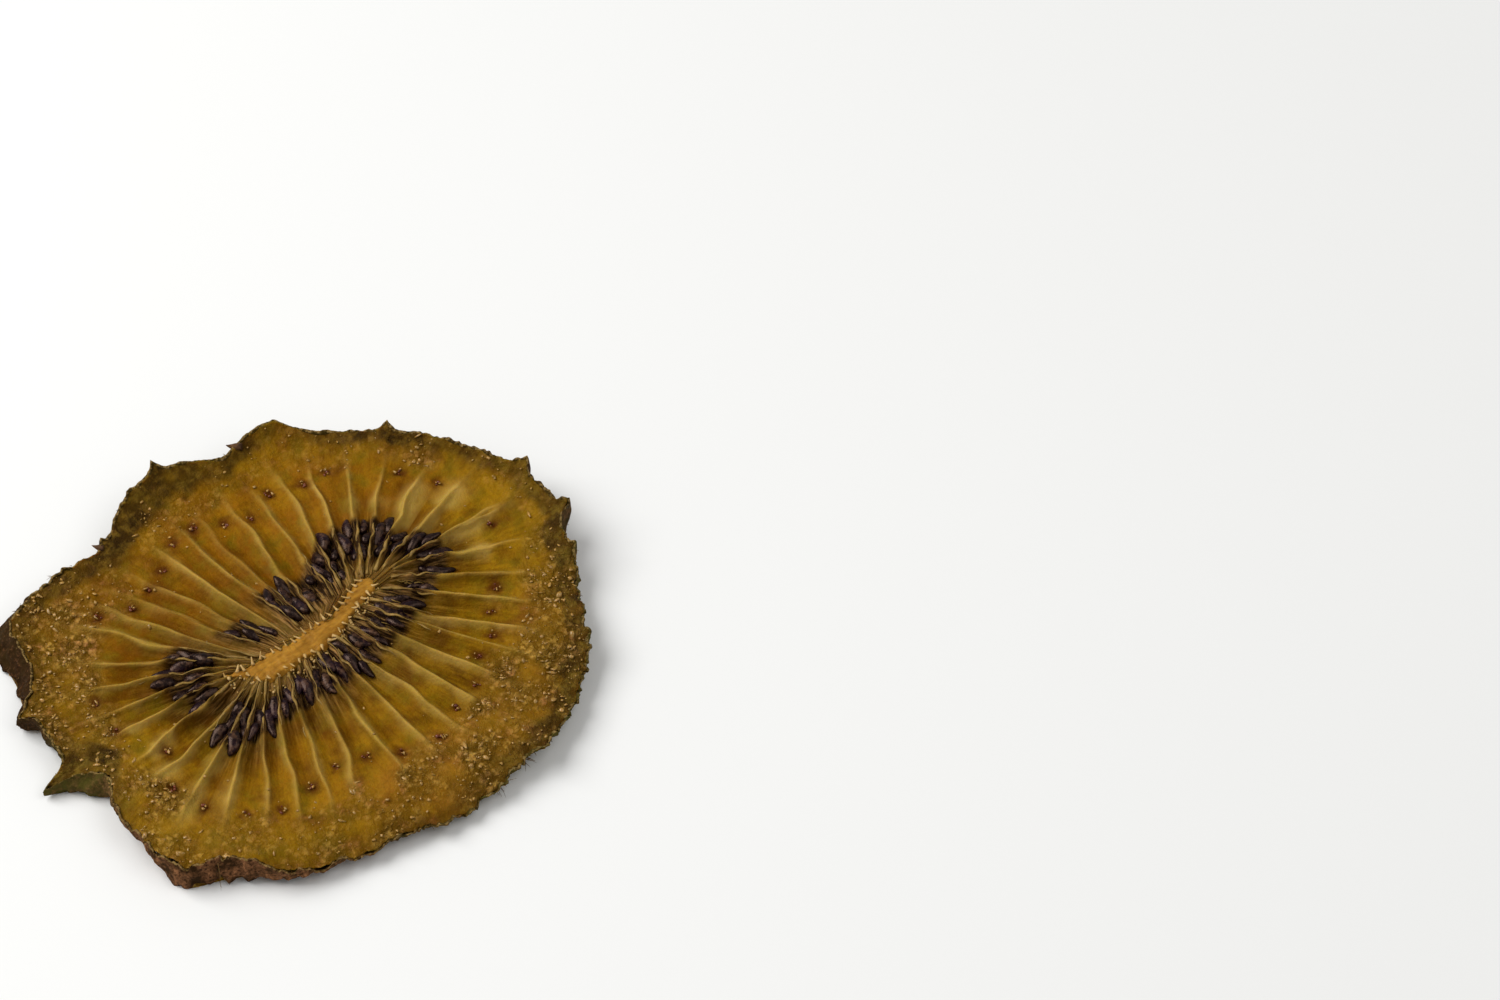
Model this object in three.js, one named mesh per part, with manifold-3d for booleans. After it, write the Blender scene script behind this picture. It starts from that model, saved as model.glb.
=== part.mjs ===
// A slice of kiwi fruit, cut across the fruit and dried with its skin on.
// The drying flesh shrank away from the core, the rays and the skin, so these stand proud on both faces,
// and the skin puckered into small horns around the rim.
// Millimetres, +Z up. X runs along the core, and the slice lies on the plane z = 0.
import * as THREE from "three";
import { mergeVertices } from "three/addons/utils/BufferGeometryUtils.js";
import Module from "manifold-3d";

// ---- Driving dimensions -----------------------------------------------------------------------------

// The rim in plan, at its corners and hollows: degrees round the middle of the slice, and the distance from
// there.
const RIM = [
  [0, 22.5], [20, 21.7], [35, 20.6], [45, 20.3], [55, 20.0], [63, 20.6], [76, 18.5], [85, 19.2], [100, 19.5],
  [113, 18.4], [125, 21.1], [137, 23.6], [148, 22.0], [157, 21.7], [170, 20.2], [183, 19.1], [196, 20.6],
  [210, 22.3], [219, 21.0], [232, 20.5], [250, 18.6], [275, 19.1], [290, 19.6], [305, 20.9], [335, 21.2],
  [350, 21.9],
];

// The horns of puckered skin: their place in degrees, how far out and up they reach, and half their width
// in degrees.
const HORNS = [
  { at: 7, out: 1.1, up: 0.5, wide: 1.8 },
  { at: 37, out: 0.6, up: 0.7, wide: 1.4 },
  { at: 62, out: 0.3, up: 0.5, wide: 3.5 },
  { at: 91, out: 0.8, up: 0.6, wide: 1.8 },
  { at: 113, out: 0.5, up: 0.5, wide: 1.5 },
  { at: 143, out: 0.2, up: 0.4, wide: 3.0 },
  { at: 159.5, out: 1.1, up: -1.0, wide: 1.3 },
  { at: 176, out: 3.4, up: -1.3, wide: 2.2 },
  { at: 212, out: 0.4, up: -0.3, wide: 3.0 },
  { at: 250, out: 0.1, up: 0.3, wide: 2.0 },
  { at: 294, out: 0.5, up: 0.4, wide: 2.0 },
  { at: 325, out: 0.1, up: 0.4, wide: 2.4 },
  { at: 345, out: 0.6, up: 0.7, wide: 1.8 },
  { at: 354, out: 1.5, up: 0.8, wide: 2.0 },
];

// The slit that the rays spread from, along a shallow S.
const SLIT_FROM = -6.2;
const SLIT_TO = 9.2;
const SLIT_HALF_WIDTH = 1.25;
const SLIT_SWAY = { middle: 0.45, by: 0.85, from: 3.4, half: 11.5 };

// The core, a ridge that fills most of the slit: its middle line in plan, and half its width by X.
const CORE_LINE = [
  [-6.8, 0.7], [-5.6, 0.0], [-4.6, -0.5], [-2.5, -0.7], [0.5, -0.7], [3, -0.2], [5, 0.55], [7.4, 1.5],
];
const CORE_HALF_WIDTH = [
  [-6.8, 0.3], [-5.6, 0.45], [-4.7, 1.0], [-2.5, 1.1], [0.5, 1.2], [3, 0.85], [4.6, 0.65], [6.3, 0.8],
  [7.4, 0.6],
];
const CORE_TOP = 3.1;
const CORE_STEPS = 16;
// The core's section: share of its half width across, and share of its height up.
const CORE_SECTION = [[-0.8, 0], [-1, 0.3], [-1, 0.85], [-0.6, 1], [0.6, 1], [1, 0.85], [1, 0.3], [0.8, 0]];

// Heights of the two faces, by the share of the way from the slit to the rim.
const TOP_FACE = [[0, 2.5], [0.12, 2.35], [0.3, 2.25], [0.55, 2.35], [0.8, 2.6], [0.92, 2.75], [1, 2.9]];
const UNDER_FACE = [[0, 0.5], [0.12, 0.6], [0.3, 0.7], [0.6, 0.7], [0.85, 0.45], [1, 0.05]];

// The skin, by degrees round the middle: how high its lip stands over the flesh, or droops below it, and how
// far its top edge leans out over the lower one.
const LIP = [
  [0, 0.9], [40, 0.8], [80, 0.9], [115, 0.6], [140, 0.1], [175, 0], [212, 0], [232, -0.7], [255, -1.1],
  [290, -1.1], [315, -0.8], [335, -0.2], [350, 0.6],
];
const LEAN = [
  [0, 0.3], [50, 0.5], [100, 0.3], [125, -0.8], [140, -1.6], [151, -1.3], [159, -0.3], [166, 0.8], [176, 0.6],
  [186, 1.2], [202, 1.1], [210, -0.2], [216, -0.4], [228, 0.4], [245, 1.4], [290, 1.6], [320, 1.4], [340, 0.8],
];
const HORN_ROOT = 8; // the higher, the nearer to the rim a horn starts
const LIP_FROM = 0.84; // share of the way to the rim at which the lip starts to rise
const SKIN_BULGE = 0.15;
const PUCKER_FROM = 0.7; // share of the way to the rim at which the rim's waves and horns start

// Slow waves of the whole slice: height, degrees of their direction, wavelength and phase.
const WARP = [
  { high: 0.22, along: 20, wave: 46, phase: 0.6 },
  { high: 0.18, along: 105, wave: 31, phase: 2.1 },
  { high: 0.12, along: 150, wave: 19, phase: 4.0 },
];

// Waves of the rim's height: how high, how many times around, and phase.
const RIM_WAVES = [
  { high: 0.28, times: 5, phase: 0.4 },
  { high: 0.18, times: 11, phase: 1.9 },
];
const UNDER_WAVE = 0.8; // the under face has these waves times this

// The rays, in degrees of an oval's parameter: where they run among the seeds, and where they end. Two rays
// and the flesh between them make one seed chamber. A turn counts chambers: 2.5 is the third one's middle.
const RAYS = [
  [5, 4], [20, 18], [31, 30], [41, 41], [48, 50], [58, 60], [66, 68], [73, 75], [84, 82], [92, 91],
  [98, 97], [106, 104], [114, 113], [121, 119], [128, 124], [134, 131], [141, 143], [150, 152], [159, 164],
  [169, 173], [184, 186], [201, 196], [212, 209], [219, 220], [226, 230], [234, 238], [242, 246],
  [252, 254], [262, 265], [271, 274], [279, 284], [288, 292], [296, 301], [305, 309], [312, 317],
  [324, 328], [338, 338], [353, 350],
];
const RAY_SHARES = [0.3, 0.75]; // of the way to the rim, for the two places of a ray
const OVAL_LONG = 23.3;
const OVAL_SHORT = 20.2;
const RAY_HALF_WIDTH = 0.5;
const RAY_HEIGHT = [[0, 0.35], [0.08, 0.55], [0.35, 0.4], [0.6, 0.22], [0.8, 0.05], [1, 0]];
const CHAMBER_DEPTH = [[0, 0.05], [0.1, 0.4], [0.3, 0.35], [0.55, 0.15], [0.78, 0], [1, 0]];
const UNDER_RELIEF = 0.7; // the under face has the relief of the top face, times this

// The seeds, flattened drops that lie along the chambers, half sunk in the flesh. They fill each chamber
// between two shares of the way to the rim, apart from the bare stretches.
const SEED = { half: [1.05, 0.6, 0.45], around: 5, along: 4 };
const SEEDS_FROM = [
  [0, 0.2], [27, 0.17], [40, 0.2], [55, 0.2], [63, 0.08], [84, 0.08], [113, 0.1], [137, 0.2], [172, 0.2],
  [208, 0.15], [222, 0.2], [245, 0.09], [320, 0.09], [347, 0.18],
];
const SEEDS_TO = [
  [0, 0.36], [15, 0.37], [27, 0.29], [40, 0.42], [55, 0.41], [63, 0.36], [72, 0.28], [84, 0.23], [96, 0.27],
  [121, 0.25], [137, 0.35], [156, 0.4], [172, 0.32], [208, 0.38], [222, 0.36], [232, 0.28], [245, 0.24],
  [305, 0.23], [335, 0.26], [347, 0.33],
];
const BARE = [[101, 110], [124, 132], [178, 203]];
const SEED_PITCH = { top: 0.1, under: 0.3 }; // share of the way from one seed of a chamber to the next
const SEED_STAGGER = 0.14; // share of the chamber's width that a seed lies off its middle
const SEED_SPREAD = 0.012;
const SEED_ROLL = 0.3; // most that a seed rolls to either side, in radians
const SEED_SIZES = [0.88, 1.12];
const SEED_OVER_TOP = 0.2; // mm from the top face out to the middle of a seed
const SEED_UNDER_FLOOR = 0.1; // the same on the under face, where no seed reaches the ground
const SEED_OFF_GROUND = 1.1; // the middle of a seed below is this many half heights above the ground
const SEED_AHEAD = 0.05; // share of the way over which a seed takes its direction
const SEED_DRAW = 20; // start of the random draw

// ---- Small helpers ----------------------------------------------------------------------------------

const RAD = Math.PI / 180;
const clamp = (value, low, high) => Math.min(Math.max(value, low), high);
const around360 = (degrees) => ((degrees % 360) + 360) % 360;
const turned = (a, b) => around360(a - b + 180) - 180; // degrees from b to a, between -180 and 180

// Smooth curve through [place, value] pairs. With a period the pairs go round and join.
function through(pairs, at, period = 0) {
  const n = pairs.length;
  const pair = (i) => {
    if (!period) return pairs[clamp(i, 0, n - 1)];
    const turn = Math.floor(i / n);
    return [pairs[i - turn * n][0] + turn * period, pairs[i - turn * n][1]];
  };
  const x = period ? around360(at) : clamp(at, pairs[0][0], pairs[n - 1][0]);
  let i = n - 1;
  while (i > 0 && pairs[i][0] > x) i -= 1;
  if (!period) i = Math.min(i, n - 2);
  const [before, low, high, after] = [pair(i - 1), pair(i), pair(i + 1), pair(i + 2)];
  const slope = (a, b) => (b[0] === a[0] ? 0 : (b[1] - a[1]) / (b[0] - a[0]));
  const span = high[0] - low[0];
  const t = (x - low[0]) / span;
  const rise = t * t * (3 - 2 * t);
  const atStart = t * (1 - t) ** 2 * slope(before, high) * span;
  const atEnd = t * t * (t - 1) * slope(low, after) * span;
  return low[1] + (high[1] - low[1]) * rise + atStart + atEnd;
}

// A repeatable random draw from 0 to 1.
function drawFrom(start) {
  let state = start;
  return () => {
    state = (state * 1664525 + 1013904223) % 4294967296;
    return state / 4294967296;
  };
}

// ---- The form of the slice --------------------------------------------------------------------------

const slitMiddle = (SLIT_FROM + SLIT_TO) / 2;
const slitHalf = (SLIT_TO - SLIT_FROM) / 2;
const spine = (x) =>
  SLIT_SWAY.middle + SLIT_SWAY.by * Math.sin((Math.PI * (x - SLIT_SWAY.from)) / SLIT_SWAY.half);

// What the horns add, out or up, at a place on the rim.
const horned = (round, way) =>
  HORNS.reduce((sum, h) => sum + h[way] * Math.exp(-Math.abs(turned(round, h.at)) / h.wide), 0);
const rimWave = (round) =>
  RIM_WAVES.reduce((sum, w) => sum + w.high * Math.sin(w.times * round * RAD + w.phase), 0);

// The slow waves of the whole slice, which both faces follow and which fade towards the core.
function warp(x, y, share) {
  const all = WARP.reduce((sum, w) => {
    const along = x * Math.cos(w.along * RAD) + y * Math.sin(w.along * RAD);
    return sum + w.high * Math.sin((2 * Math.PI * along) / w.wave + w.phase);
  }, 0);
  return all * clamp(share * 2, 0, 1);
}

// Degrees of a ray at a share of the way to the rim. It bends most near the core.
function rayDegrees(ray, share) {
  const round = Math.floor(ray / RAYS.length);
  const [among, end] = RAYS[ray - round * RAYS.length];
  const [near, far] = RAY_SHARES.map((s) => (1 - s) ** 2);
  return end + ((among - end) * ((1 - share) ** 2 - far)) / (near - far) + round * 360;
}

// Place in plan of a turn, at a share of the way from the edge of the slit to the rim.
function place(share, turn) {
  const ray = Math.floor(turn);
  const low = rayDegrees(ray, share);
  const degrees = low + (rayDegrees(ray + 1, share) - low) * (turn - ray);
  const slitX = slitMiddle + slitHalf * Math.cos(degrees * RAD);
  const slitY = spine(slitX) + SLIT_HALF_WIDTH * Math.sin(degrees * RAD);
  const round = Math.atan2(OVAL_SHORT * Math.sin(degrees * RAD), OVAL_LONG * Math.cos(degrees * RAD));
  const radius = through(RIM, round / RAD, 360);
  const horn = horned(round / RAD, "out") * share ** HORN_ROOT;
  return {
    x: slitX + (radius * Math.cos(round) - slitX) * share + horn * Math.cos(round),
    y: slitY + (radius * Math.sin(round) - slitY) * share + horn * Math.sin(round),
    round: round / RAD,
  };
}

// How far a face stands out at a ray or in between: the rays rise and the chambers sink.
function relief(share, turn) {
  const ray = Math.floor(turn);
  const across = turn - ray;
  const wide = rayDegrees(ray + 1, share) - rayDegrees(ray, share);
  const toRay = Math.min(across, 1 - across) * wide * RAD * (SLIT_HALF_WIDTH + share * OVAL_SHORT);
  const ridge = through(RAY_HEIGHT, share) * Math.exp(-((toRay / RAY_HALF_WIDTH) ** 2));
  const hollow = through(CHAMBER_DEPTH, share) * 4 * across * (1 - across);
  return ridge - hollow;
}

const nearRim = (share, from) => Math.max(share - from, 0) / (1 - from);

function topHeight(share, turn) {
  const { x, y, round } = place(share, turn);
  const puckers = (rimWave(round) + horned(round, "up")) * nearRim(share, PUCKER_FROM) ** 3;
  const lip = through(LIP, round, 360) * nearRim(share, LIP_FROM) ** 1.5;
  return through(TOP_FACE, share) + relief(share, turn) + warp(x, y, share) + puckers + lip;
}

function underHeight(share, turn) {
  const { x, y, round } = place(share, turn);
  const waves = warp(x, y, share);
  const face = through(UNDER_FACE, share) - relief(share, turn) * UNDER_RELIEF + waves;
  return Math.max(face + (rimWave(round) * UNDER_WAVE - waves) * nearRim(share, PUCKER_FROM) ** 2, 0);
}

// ---- The mesh ---------------------------------------------------------------------------------------

const TOP_RINGS = [0, 0.07, 0.15, 0.23, 0.32, 0.43, 0.56, 0.7, 0.82, 0.91, 0.97, 1];
const UNDER_RINGS = [0, 0.14, 0.3, 0.48, 0.68, 0.86, 1];
const WALL_RINGS = [0.3, 0.7]; // share of the way down the skin
const CHAMBER_STEPS = [0, 0.33, 0.67];
const SPOKE_GAP = 0.07; // in turns: a horn gets a spoke of its own unless one lies nearer than this

// The turns at which each ring has a vertex: the rays, two places between them, and the horns.
function spokes() {
  const turns = RAYS.flatMap((_, ray) => CHAMBER_STEPS.map((step) => ray + step));
  for (const { at } of HORNS) {
    const own = Math.atan2(OVAL_LONG * Math.sin(at * RAD), OVAL_SHORT * Math.cos(at * RAD)) / RAD;
    const past = (ray) => around360(own - rayDegrees(ray, 1));
    const ray = RAYS.reduce((best, _, i) => (past(i) < past(best) ? i : best), 0);
    const turn = ray + past(ray) / (rayDegrees(ray + 1, 1) - rayDegrees(ray, 1));
    if (Math.min(...turns.map((other) => Math.abs(other - turn))) > SPOKE_GAP) turns.push(turn);
  }
  return turns.sort((a, b) => a - b);
}

// Faces that join rings of vertices, each with as many, and close both ends on a vertex of their own.
function ringFaces(rings, count, firstEnd, lastEnd) {
  const faces = [];
  for (let ring = 0; ring + 1 < rings; ring += 1)
    for (let i = 0; i < count; i += 1) {
      const [a, b] = [ring * count + i, ring * count + ((i + 1) % count)];
      const [c, d] = [a + count, b + count];
      faces.push(a, c, b, b, c, d);
    }
  const last = (rings - 1) * count;
  for (let i = 0; i < count; i += 1) {
    const next = (i + 1) % count;
    faces.push(firstEnd, i, next);
    faces.push(lastEnd, last + next, last + i);
  }
  return faces;
}

function shape(rings, firstEnd, lastEnd) {
  const count = rings[0].length;
  const points = [...rings.flat(), firstEnd, lastEnd];
  const geometry = new THREE.BufferGeometry();
  geometry.setAttribute("position", new THREE.Float32BufferAttribute(points.flat(), 3));
  geometry.setIndex(ringFaces(rings.length, count, points.length - 2, points.length - 1));
  return geometry;
}

// The body: rings of vertices from the slit on the top face, down the skin, to the slit below.
function bodyGeometry() {
  const around = spokes();
  const lean = (round) => through(LEAN, round, 360);
  const onFace = (share, turn, side, height) => {
    const p = place(share, turn);
    const by = side * 0.5 * lean(p.round) * share ** HORN_ROOT;
    return [p.x + by * Math.cos(p.round * RAD), p.y + by * Math.sin(p.round * RAD), height(share, turn)];
  };
  const onSkin = (down, turn) => {
    const p = place(1, turn);
    const out = lean(p.round) * (0.5 - down) + SKIN_BULGE;
    const top = topHeight(1, turn);
    const z = top + (underHeight(1, turn) - top) * down;
    return [p.x + out * Math.cos(p.round * RAD), p.y + out * Math.sin(p.round * RAD), z];
  };
  const upToCore = [...UNDER_RINGS].reverse();
  const rings = [
    ...TOP_RINGS.map((share) => around.map((turn) => onFace(share, turn, 1, topHeight))),
    ...WALL_RINGS.map((down) => around.map((turn) => onSkin(down, turn))),
    ...upToCore.map((share) => around.map((turn) => onFace(share, turn, -1, underHeight))),
  ];
  const middle = (face) => [slitMiddle, spine(slitMiddle), face[0][1]];
  return shape(rings, middle(TOP_FACE), middle(UNDER_FACE));
}

// The core, from its one end to the other.
function coreGeometry() {
  const [from, to] = [CORE_LINE[0][0], CORE_LINE.at(-1)[0]];
  const rings = Array.from({ length: CORE_STEPS + 1 }, (_, step) => {
    const x = from + ((to - from) * step) / CORE_STEPS;
    const [y, half] = [through(CORE_LINE, x), through(CORE_HALF_WIDTH, x)];
    return CORE_SECTION.map(([across, up]) => [x, y + half * across, CORE_TOP * up]);
  });
  const end = (x) => [x, through(CORE_LINE, x), CORE_TOP / 2];
  return shape(rings, end(from), end(to));
}

// The seeds of one face, chamber by chamber from the core outwards.
function seedGeometries(face) {
  const draw = drawFrom(SEED_DRAW + (face === "top" ? 0 : 1));
  const seeds = [];
  RAYS.forEach((_, ray) => {
    const among = (RAYS[ray][0] + rayDegrees(ray + 1, RAY_SHARES[0])) / 2;
    if (BARE.some(([from, to]) => among > from && among < to)) return;
    const [from, to] = [through(SEEDS_FROM, among, 360), through(SEEDS_TO, among, 360)];
    let side = draw() < 0.5 ? 1 : -1;
    for (let row = from + SEED_PITCH[face] * draw(); row < to; row += SEED_PITCH[face]) {
      const share = row + SEED_SPREAD * (draw() * 2 - 1);
      const turn = ray + 0.5 + side * SEED_STAGGER;
      const size = SEED_SIZES[0] + (SEED_SIZES[1] - SEED_SIZES[0]) * draw();
      const at = place(share, turn);
      const ahead = place(share + SEED_AHEAD, turn);
      const seed = new THREE.SphereGeometry(1, SEED.around, SEED.along);
      seed.rotateZ(Math.PI / 2); // the poles to the ends of the long axis
      seed.scale(...SEED.half.map((half) => half * size));
      seed.rotateX((draw() * 2 - 1) * SEED_ROLL);
      seed.rotateZ(Math.atan2(ahead.y - at.y, ahead.x - at.x));
      const over = topHeight(share, turn) + SEED_OVER_TOP;
      const lowest = SEED.half[2] * size * SEED_OFF_GROUND;
      const under = Math.max(underHeight(share, turn) - SEED_UNDER_FLOOR, lowest);
      seed.translate(at.x, at.y, face === "top" ? over : under);
      seeds.push(seed);
      side = -side;
    }
  });
  return seeds;
}

// ---- Joining ----------------------------------------------------------------------------------------

const WELD = 1e-4; // points nearer than this are one vertex
const wasm = await Module();
wasm.setup();

function solid(geometry) {
  geometry.deleteAttribute("normal");
  geometry.deleteAttribute("uv");
  const merged = mergeVertices(geometry, WELD);
  return new wasm.Manifold(
    new wasm.Mesh({
      numProp: 3,
      vertProperties: merged.attributes.position.array,
      triVerts: new Uint32Array(merged.index.array),
    }),
  );
}

let slice = solid(bodyGeometry()).add(solid(coreGeometry()));
for (const seed of [...seedGeometries("top"), ...seedGeometries("under")]) slice = slice.add(solid(seed));
// A pocket shut in under a seed is a shell of its own: the largest shell alone is the slice without it.
slice = slice.decompose().reduce((best, shell) => (shell.volume() > best.volume() ? shell : best));

const joined = slice.getMesh();
const geometry = new THREE.BufferGeometry();
geometry.setAttribute("position", new THREE.BufferAttribute(joined.vertProperties, 3));
geometry.setIndex(new THREE.BufferAttribute(joined.triVerts, 1));

// The slice's box is centred on the origin and stands on z = 0.
geometry.computeBoundingBox();
const { min, max } = geometry.boundingBox;
geometry.translate(-(min.x + max.x) / 2, -(min.y + max.y) / 2, -min.z);

const flesh = new THREE.MeshStandardMaterial({ color: 0x8a6420, roughness: 0.55, metalness: 0 });
const mesh = new THREE.Mesh(geometry, flesh);
mesh.name = "kiwi_slice";

const part = new THREE.Group();
part.add(mesh);
export default part;
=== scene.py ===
"""The looks of a kiwi slice that was dried with its skin on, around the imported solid.

Sizes are in millimetres here, and become metres where a mesh is made. The slice lies on z = 0, and X runs
along its core. A place on a face is a share and a turn. The share is the share of the way from the edge of
the slit that the rays spread from, 0, to the rim, 1. The turn counts the seed chambers round the core, so
that a whole number is a ray between two chambers. Headings are degrees of an oval's parameter, and rounds
are plain degrees about the middle.
"""

import logging
import math
from dataclasses import dataclass
from enum import Enum
from functools import cached_property, partial
from typing import Any, Callable

import bpy
import numpy as np
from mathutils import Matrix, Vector


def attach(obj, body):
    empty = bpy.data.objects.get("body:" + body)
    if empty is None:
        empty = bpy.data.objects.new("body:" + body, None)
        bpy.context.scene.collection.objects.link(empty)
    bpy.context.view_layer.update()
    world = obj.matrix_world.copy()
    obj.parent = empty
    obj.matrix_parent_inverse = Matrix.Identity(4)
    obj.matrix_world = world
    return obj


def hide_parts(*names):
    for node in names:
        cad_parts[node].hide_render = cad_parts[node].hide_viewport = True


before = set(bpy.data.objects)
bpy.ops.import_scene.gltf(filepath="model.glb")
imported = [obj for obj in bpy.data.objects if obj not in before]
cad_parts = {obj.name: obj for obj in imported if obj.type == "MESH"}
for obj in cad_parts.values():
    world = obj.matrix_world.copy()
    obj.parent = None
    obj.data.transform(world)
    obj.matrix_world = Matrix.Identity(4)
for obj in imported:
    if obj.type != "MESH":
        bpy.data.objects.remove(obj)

NODE = "kiwi_slice"
BODY = "root"
MM = 0.001  # metres
FULL_TURN = 360  # degrees
LOG = logging.getLogger("kiwi slice")

Pairs = tuple[tuple[float, float], ...]  # places, or headings, each with a value there
Scale = tuple[float, float, float]  # what X, Y and Z are multiplied by
Shape = tuple[np.ndarray, list[np.ndarray]]  # points, and arrays of corners


class Slot(Enum):
    """The record's material slots."""

    FLESH = "flesh"
    SKIN = "skin"
    CORE = "core"
    SEED = "seed"
    FIBRE = "fibre"


class Face(Enum):
    """The two cut faces, with the way each one looks along Z."""

    TOP = 1
    UNDER = -1


# ---- Curves and random draws ---------------------------------------------------------------------


def through(pairs: Pairs, at: Any, period: float = 0.0) -> np.ndarray:
    """Reads a smooth curve through pairs of place and value.

    Args:
        pairs: The places, rising, each with its value.
        at: Where to read the curve.
        period: The length after which the pairs come round again, or 0 for a curve with ends.

    Returns:
        The values, in the shape of at.
    """
    places, values = np.array(pairs, float).T
    if period:
        at = np.mod(at, period)
        places = np.concatenate([places[-1:] - period, places, places[:2] + period])
        values = np.concatenate([values[-1:], values, values[:2]])
    else:
        at = np.clip(at, places[0], places[-1])
    last = len(places) - 1
    low = np.clip(np.searchsorted(places, at, side="right") - 1, 0, last - 1)
    high, before, after = low + 1, np.maximum(low - 1, 0), np.minimum(low + 2, last)
    span = places[high] - places[low]
    start = (values[high] - values[before]) / (places[high] - places[before]) * span
    end = (values[after] - values[low]) / (places[after] - places[low]) * span
    t = (at - places[low]) / span
    rise = values[low] + (values[high] - values[low]) * t * t * (3 - 2 * t)
    return rise + t * (1 - t) ** 2 * start + t * t * (t - 1) * end


def around(pairs: Pairs, degrees: Any) -> np.ndarray:
    """Reads a smooth curve that comes round again after a full turn."""
    return through(pairs, degrees, FULL_TURN)


def ramp(value: Any, low: Any, high: Any) -> np.ndarray:
    """Rises smoothly from 0 where value is low to 1 where it is high."""
    t = np.clip((np.asarray(value) - low) / (high - low), 0, 1)
    return t * t * (3 - 2 * t)


def hump(value: Any, half: Any) -> np.ndarray:
    """Falls from 1 where value is 0, like a bell of that half width."""
    return np.exp(-((np.asarray(value) / half) ** 2))


def flat_points(*values: Any) -> np.ndarray:
    """Puts up to three arrays together as points, with zeros for those left out."""
    arrays = np.broadcast_arrays(*values, *[0.0] * (3 - len(values)))
    return np.stack(arrays, axis=-1)


def outward(rounds: Any) -> np.ndarray:
    """The way out from the middle at each round, with X, Y and Z last."""
    angle = np.radians(rounds)
    return flat_points(np.cos(angle), np.sin(angle))


WORD = 0xFFFFFFFF  # the bits that a mixed number keeps
SPREAD = np.array((73856093, 19349663, 83492791))  # large primes that tell X, Y and Z apart
MIXING = ((15, 747796405), (13, 1274126177))  # shifts and odd factors that scatter a number's bits


@dataclass(frozen=True)
class Lattice:
    """Random waves and pebbles on a lattice in space, the same in each run.

    Attributes:
        step: The distance between lattice points.
        draw: The start of the random draw.
        high: The height of the waves.
        squeeze: What X, Y and Z are multiplied by first; below 1 stretches the waves that way, and 0 makes
            them the same all along it.
    """

    step: float
    draw: int
    high: float = 1.0
    squeeze: Scale = (1, 1, 1)

    def random(self, cell: np.ndarray, salt: int = 0) -> np.ndarray:
        """Draws a number for each cell of the lattice.

        Args:
            cell: The cells, as whole numbers with X, Y and Z last.
            salt: Tells several draws of one cell apart.

        Returns:
            The numbers, from 0 to 1.
        """
        mixed = np.bitwise_xor.reduce(cell * SPREAD, axis=-1)
        mixed = (mixed ^ ((self.draw * 31 + salt) * 40503)) & WORD
        for shift, factor in MIXING:
            mixed = ((mixed ^ (mixed >> shift)) * factor) & WORD
        return ((mixed ^ (mixed >> 16)) & 0xFFFFFF) / 0x1000000

    def waves(self, points: np.ndarray) -> np.ndarray:
        """Reads slow random waves.

        Args:
            points: Where to read them, with X, Y and Z last.

        Returns:
            Their heights, from -high to high.
        """
        scaled = points * self.squeeze / self.step
        cell = np.floor(scaled).astype(np.int64)
        part = scaled - cell
        part = part * part * (3 - 2 * part)
        total = np.zeros(points.shape[:-1])
        for corner in np.ndindex(2, 2, 2):
            weight = np.prod(np.where(corner, part, 1 - part), axis=-1)
            total += weight * self.random(cell + np.array(corner))
        return self.high * (total * 2 - 1)

    def pebbles(self, points: np.ndarray) -> tuple[np.ndarray, np.ndarray]:
        """Packs pebbles in space.

        Args:
            points: Where to read them, with X, Y and Z last.

        Returns:
            The height, from high at a pebble's middle down to 0 in the gap beside it, and each pebble's own
            random number.
        """
        scaled = points * self.squeeze / self.step
        cell = np.floor(scaled).astype(np.int64)
        near = np.full(points.shape[:-1], np.inf)
        second = near.copy()
        own = np.zeros(points.shape[:-1])
        for offset in np.ndindex(3, 3, 3):
            other = cell + np.array(offset) - 1
            middle = other + np.stack([self.random(other, salt) for salt in (1, 2, 3)], axis=-1)
            far = np.linalg.norm(scaled - middle, axis=-1)
            nearer = far < near
            second = np.where(nearer, near, np.minimum(second, far))
            own = np.where(nearer, self.random(other, 4), own)
            near = np.minimum(near, far)
        steep = 1.6  # how fast a pebble rises from its gap
        return self.high * np.clip((second - near) * steep, 0, 1), own


Lattices = tuple[Lattice, ...]
LEVEL: Scale = (1, 1, 0)  # a squeeze that makes waves the same at all heights


def layered(lattices: Lattices, points: np.ndarray) -> np.ndarray:
    """Adds up the waves of several lattices."""
    return sum(lattice.waves(points) for lattice in lattices)


# ---- Meshes --------------------------------------------------------------------------------------


def in_scene(name: str, data: Any) -> bpy.types.Object:
    """Makes an object and puts it in the scene."""
    thing = bpy.data.objects.new(name, data)
    bpy.context.scene.collection.objects.link(thing)
    return thing


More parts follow.
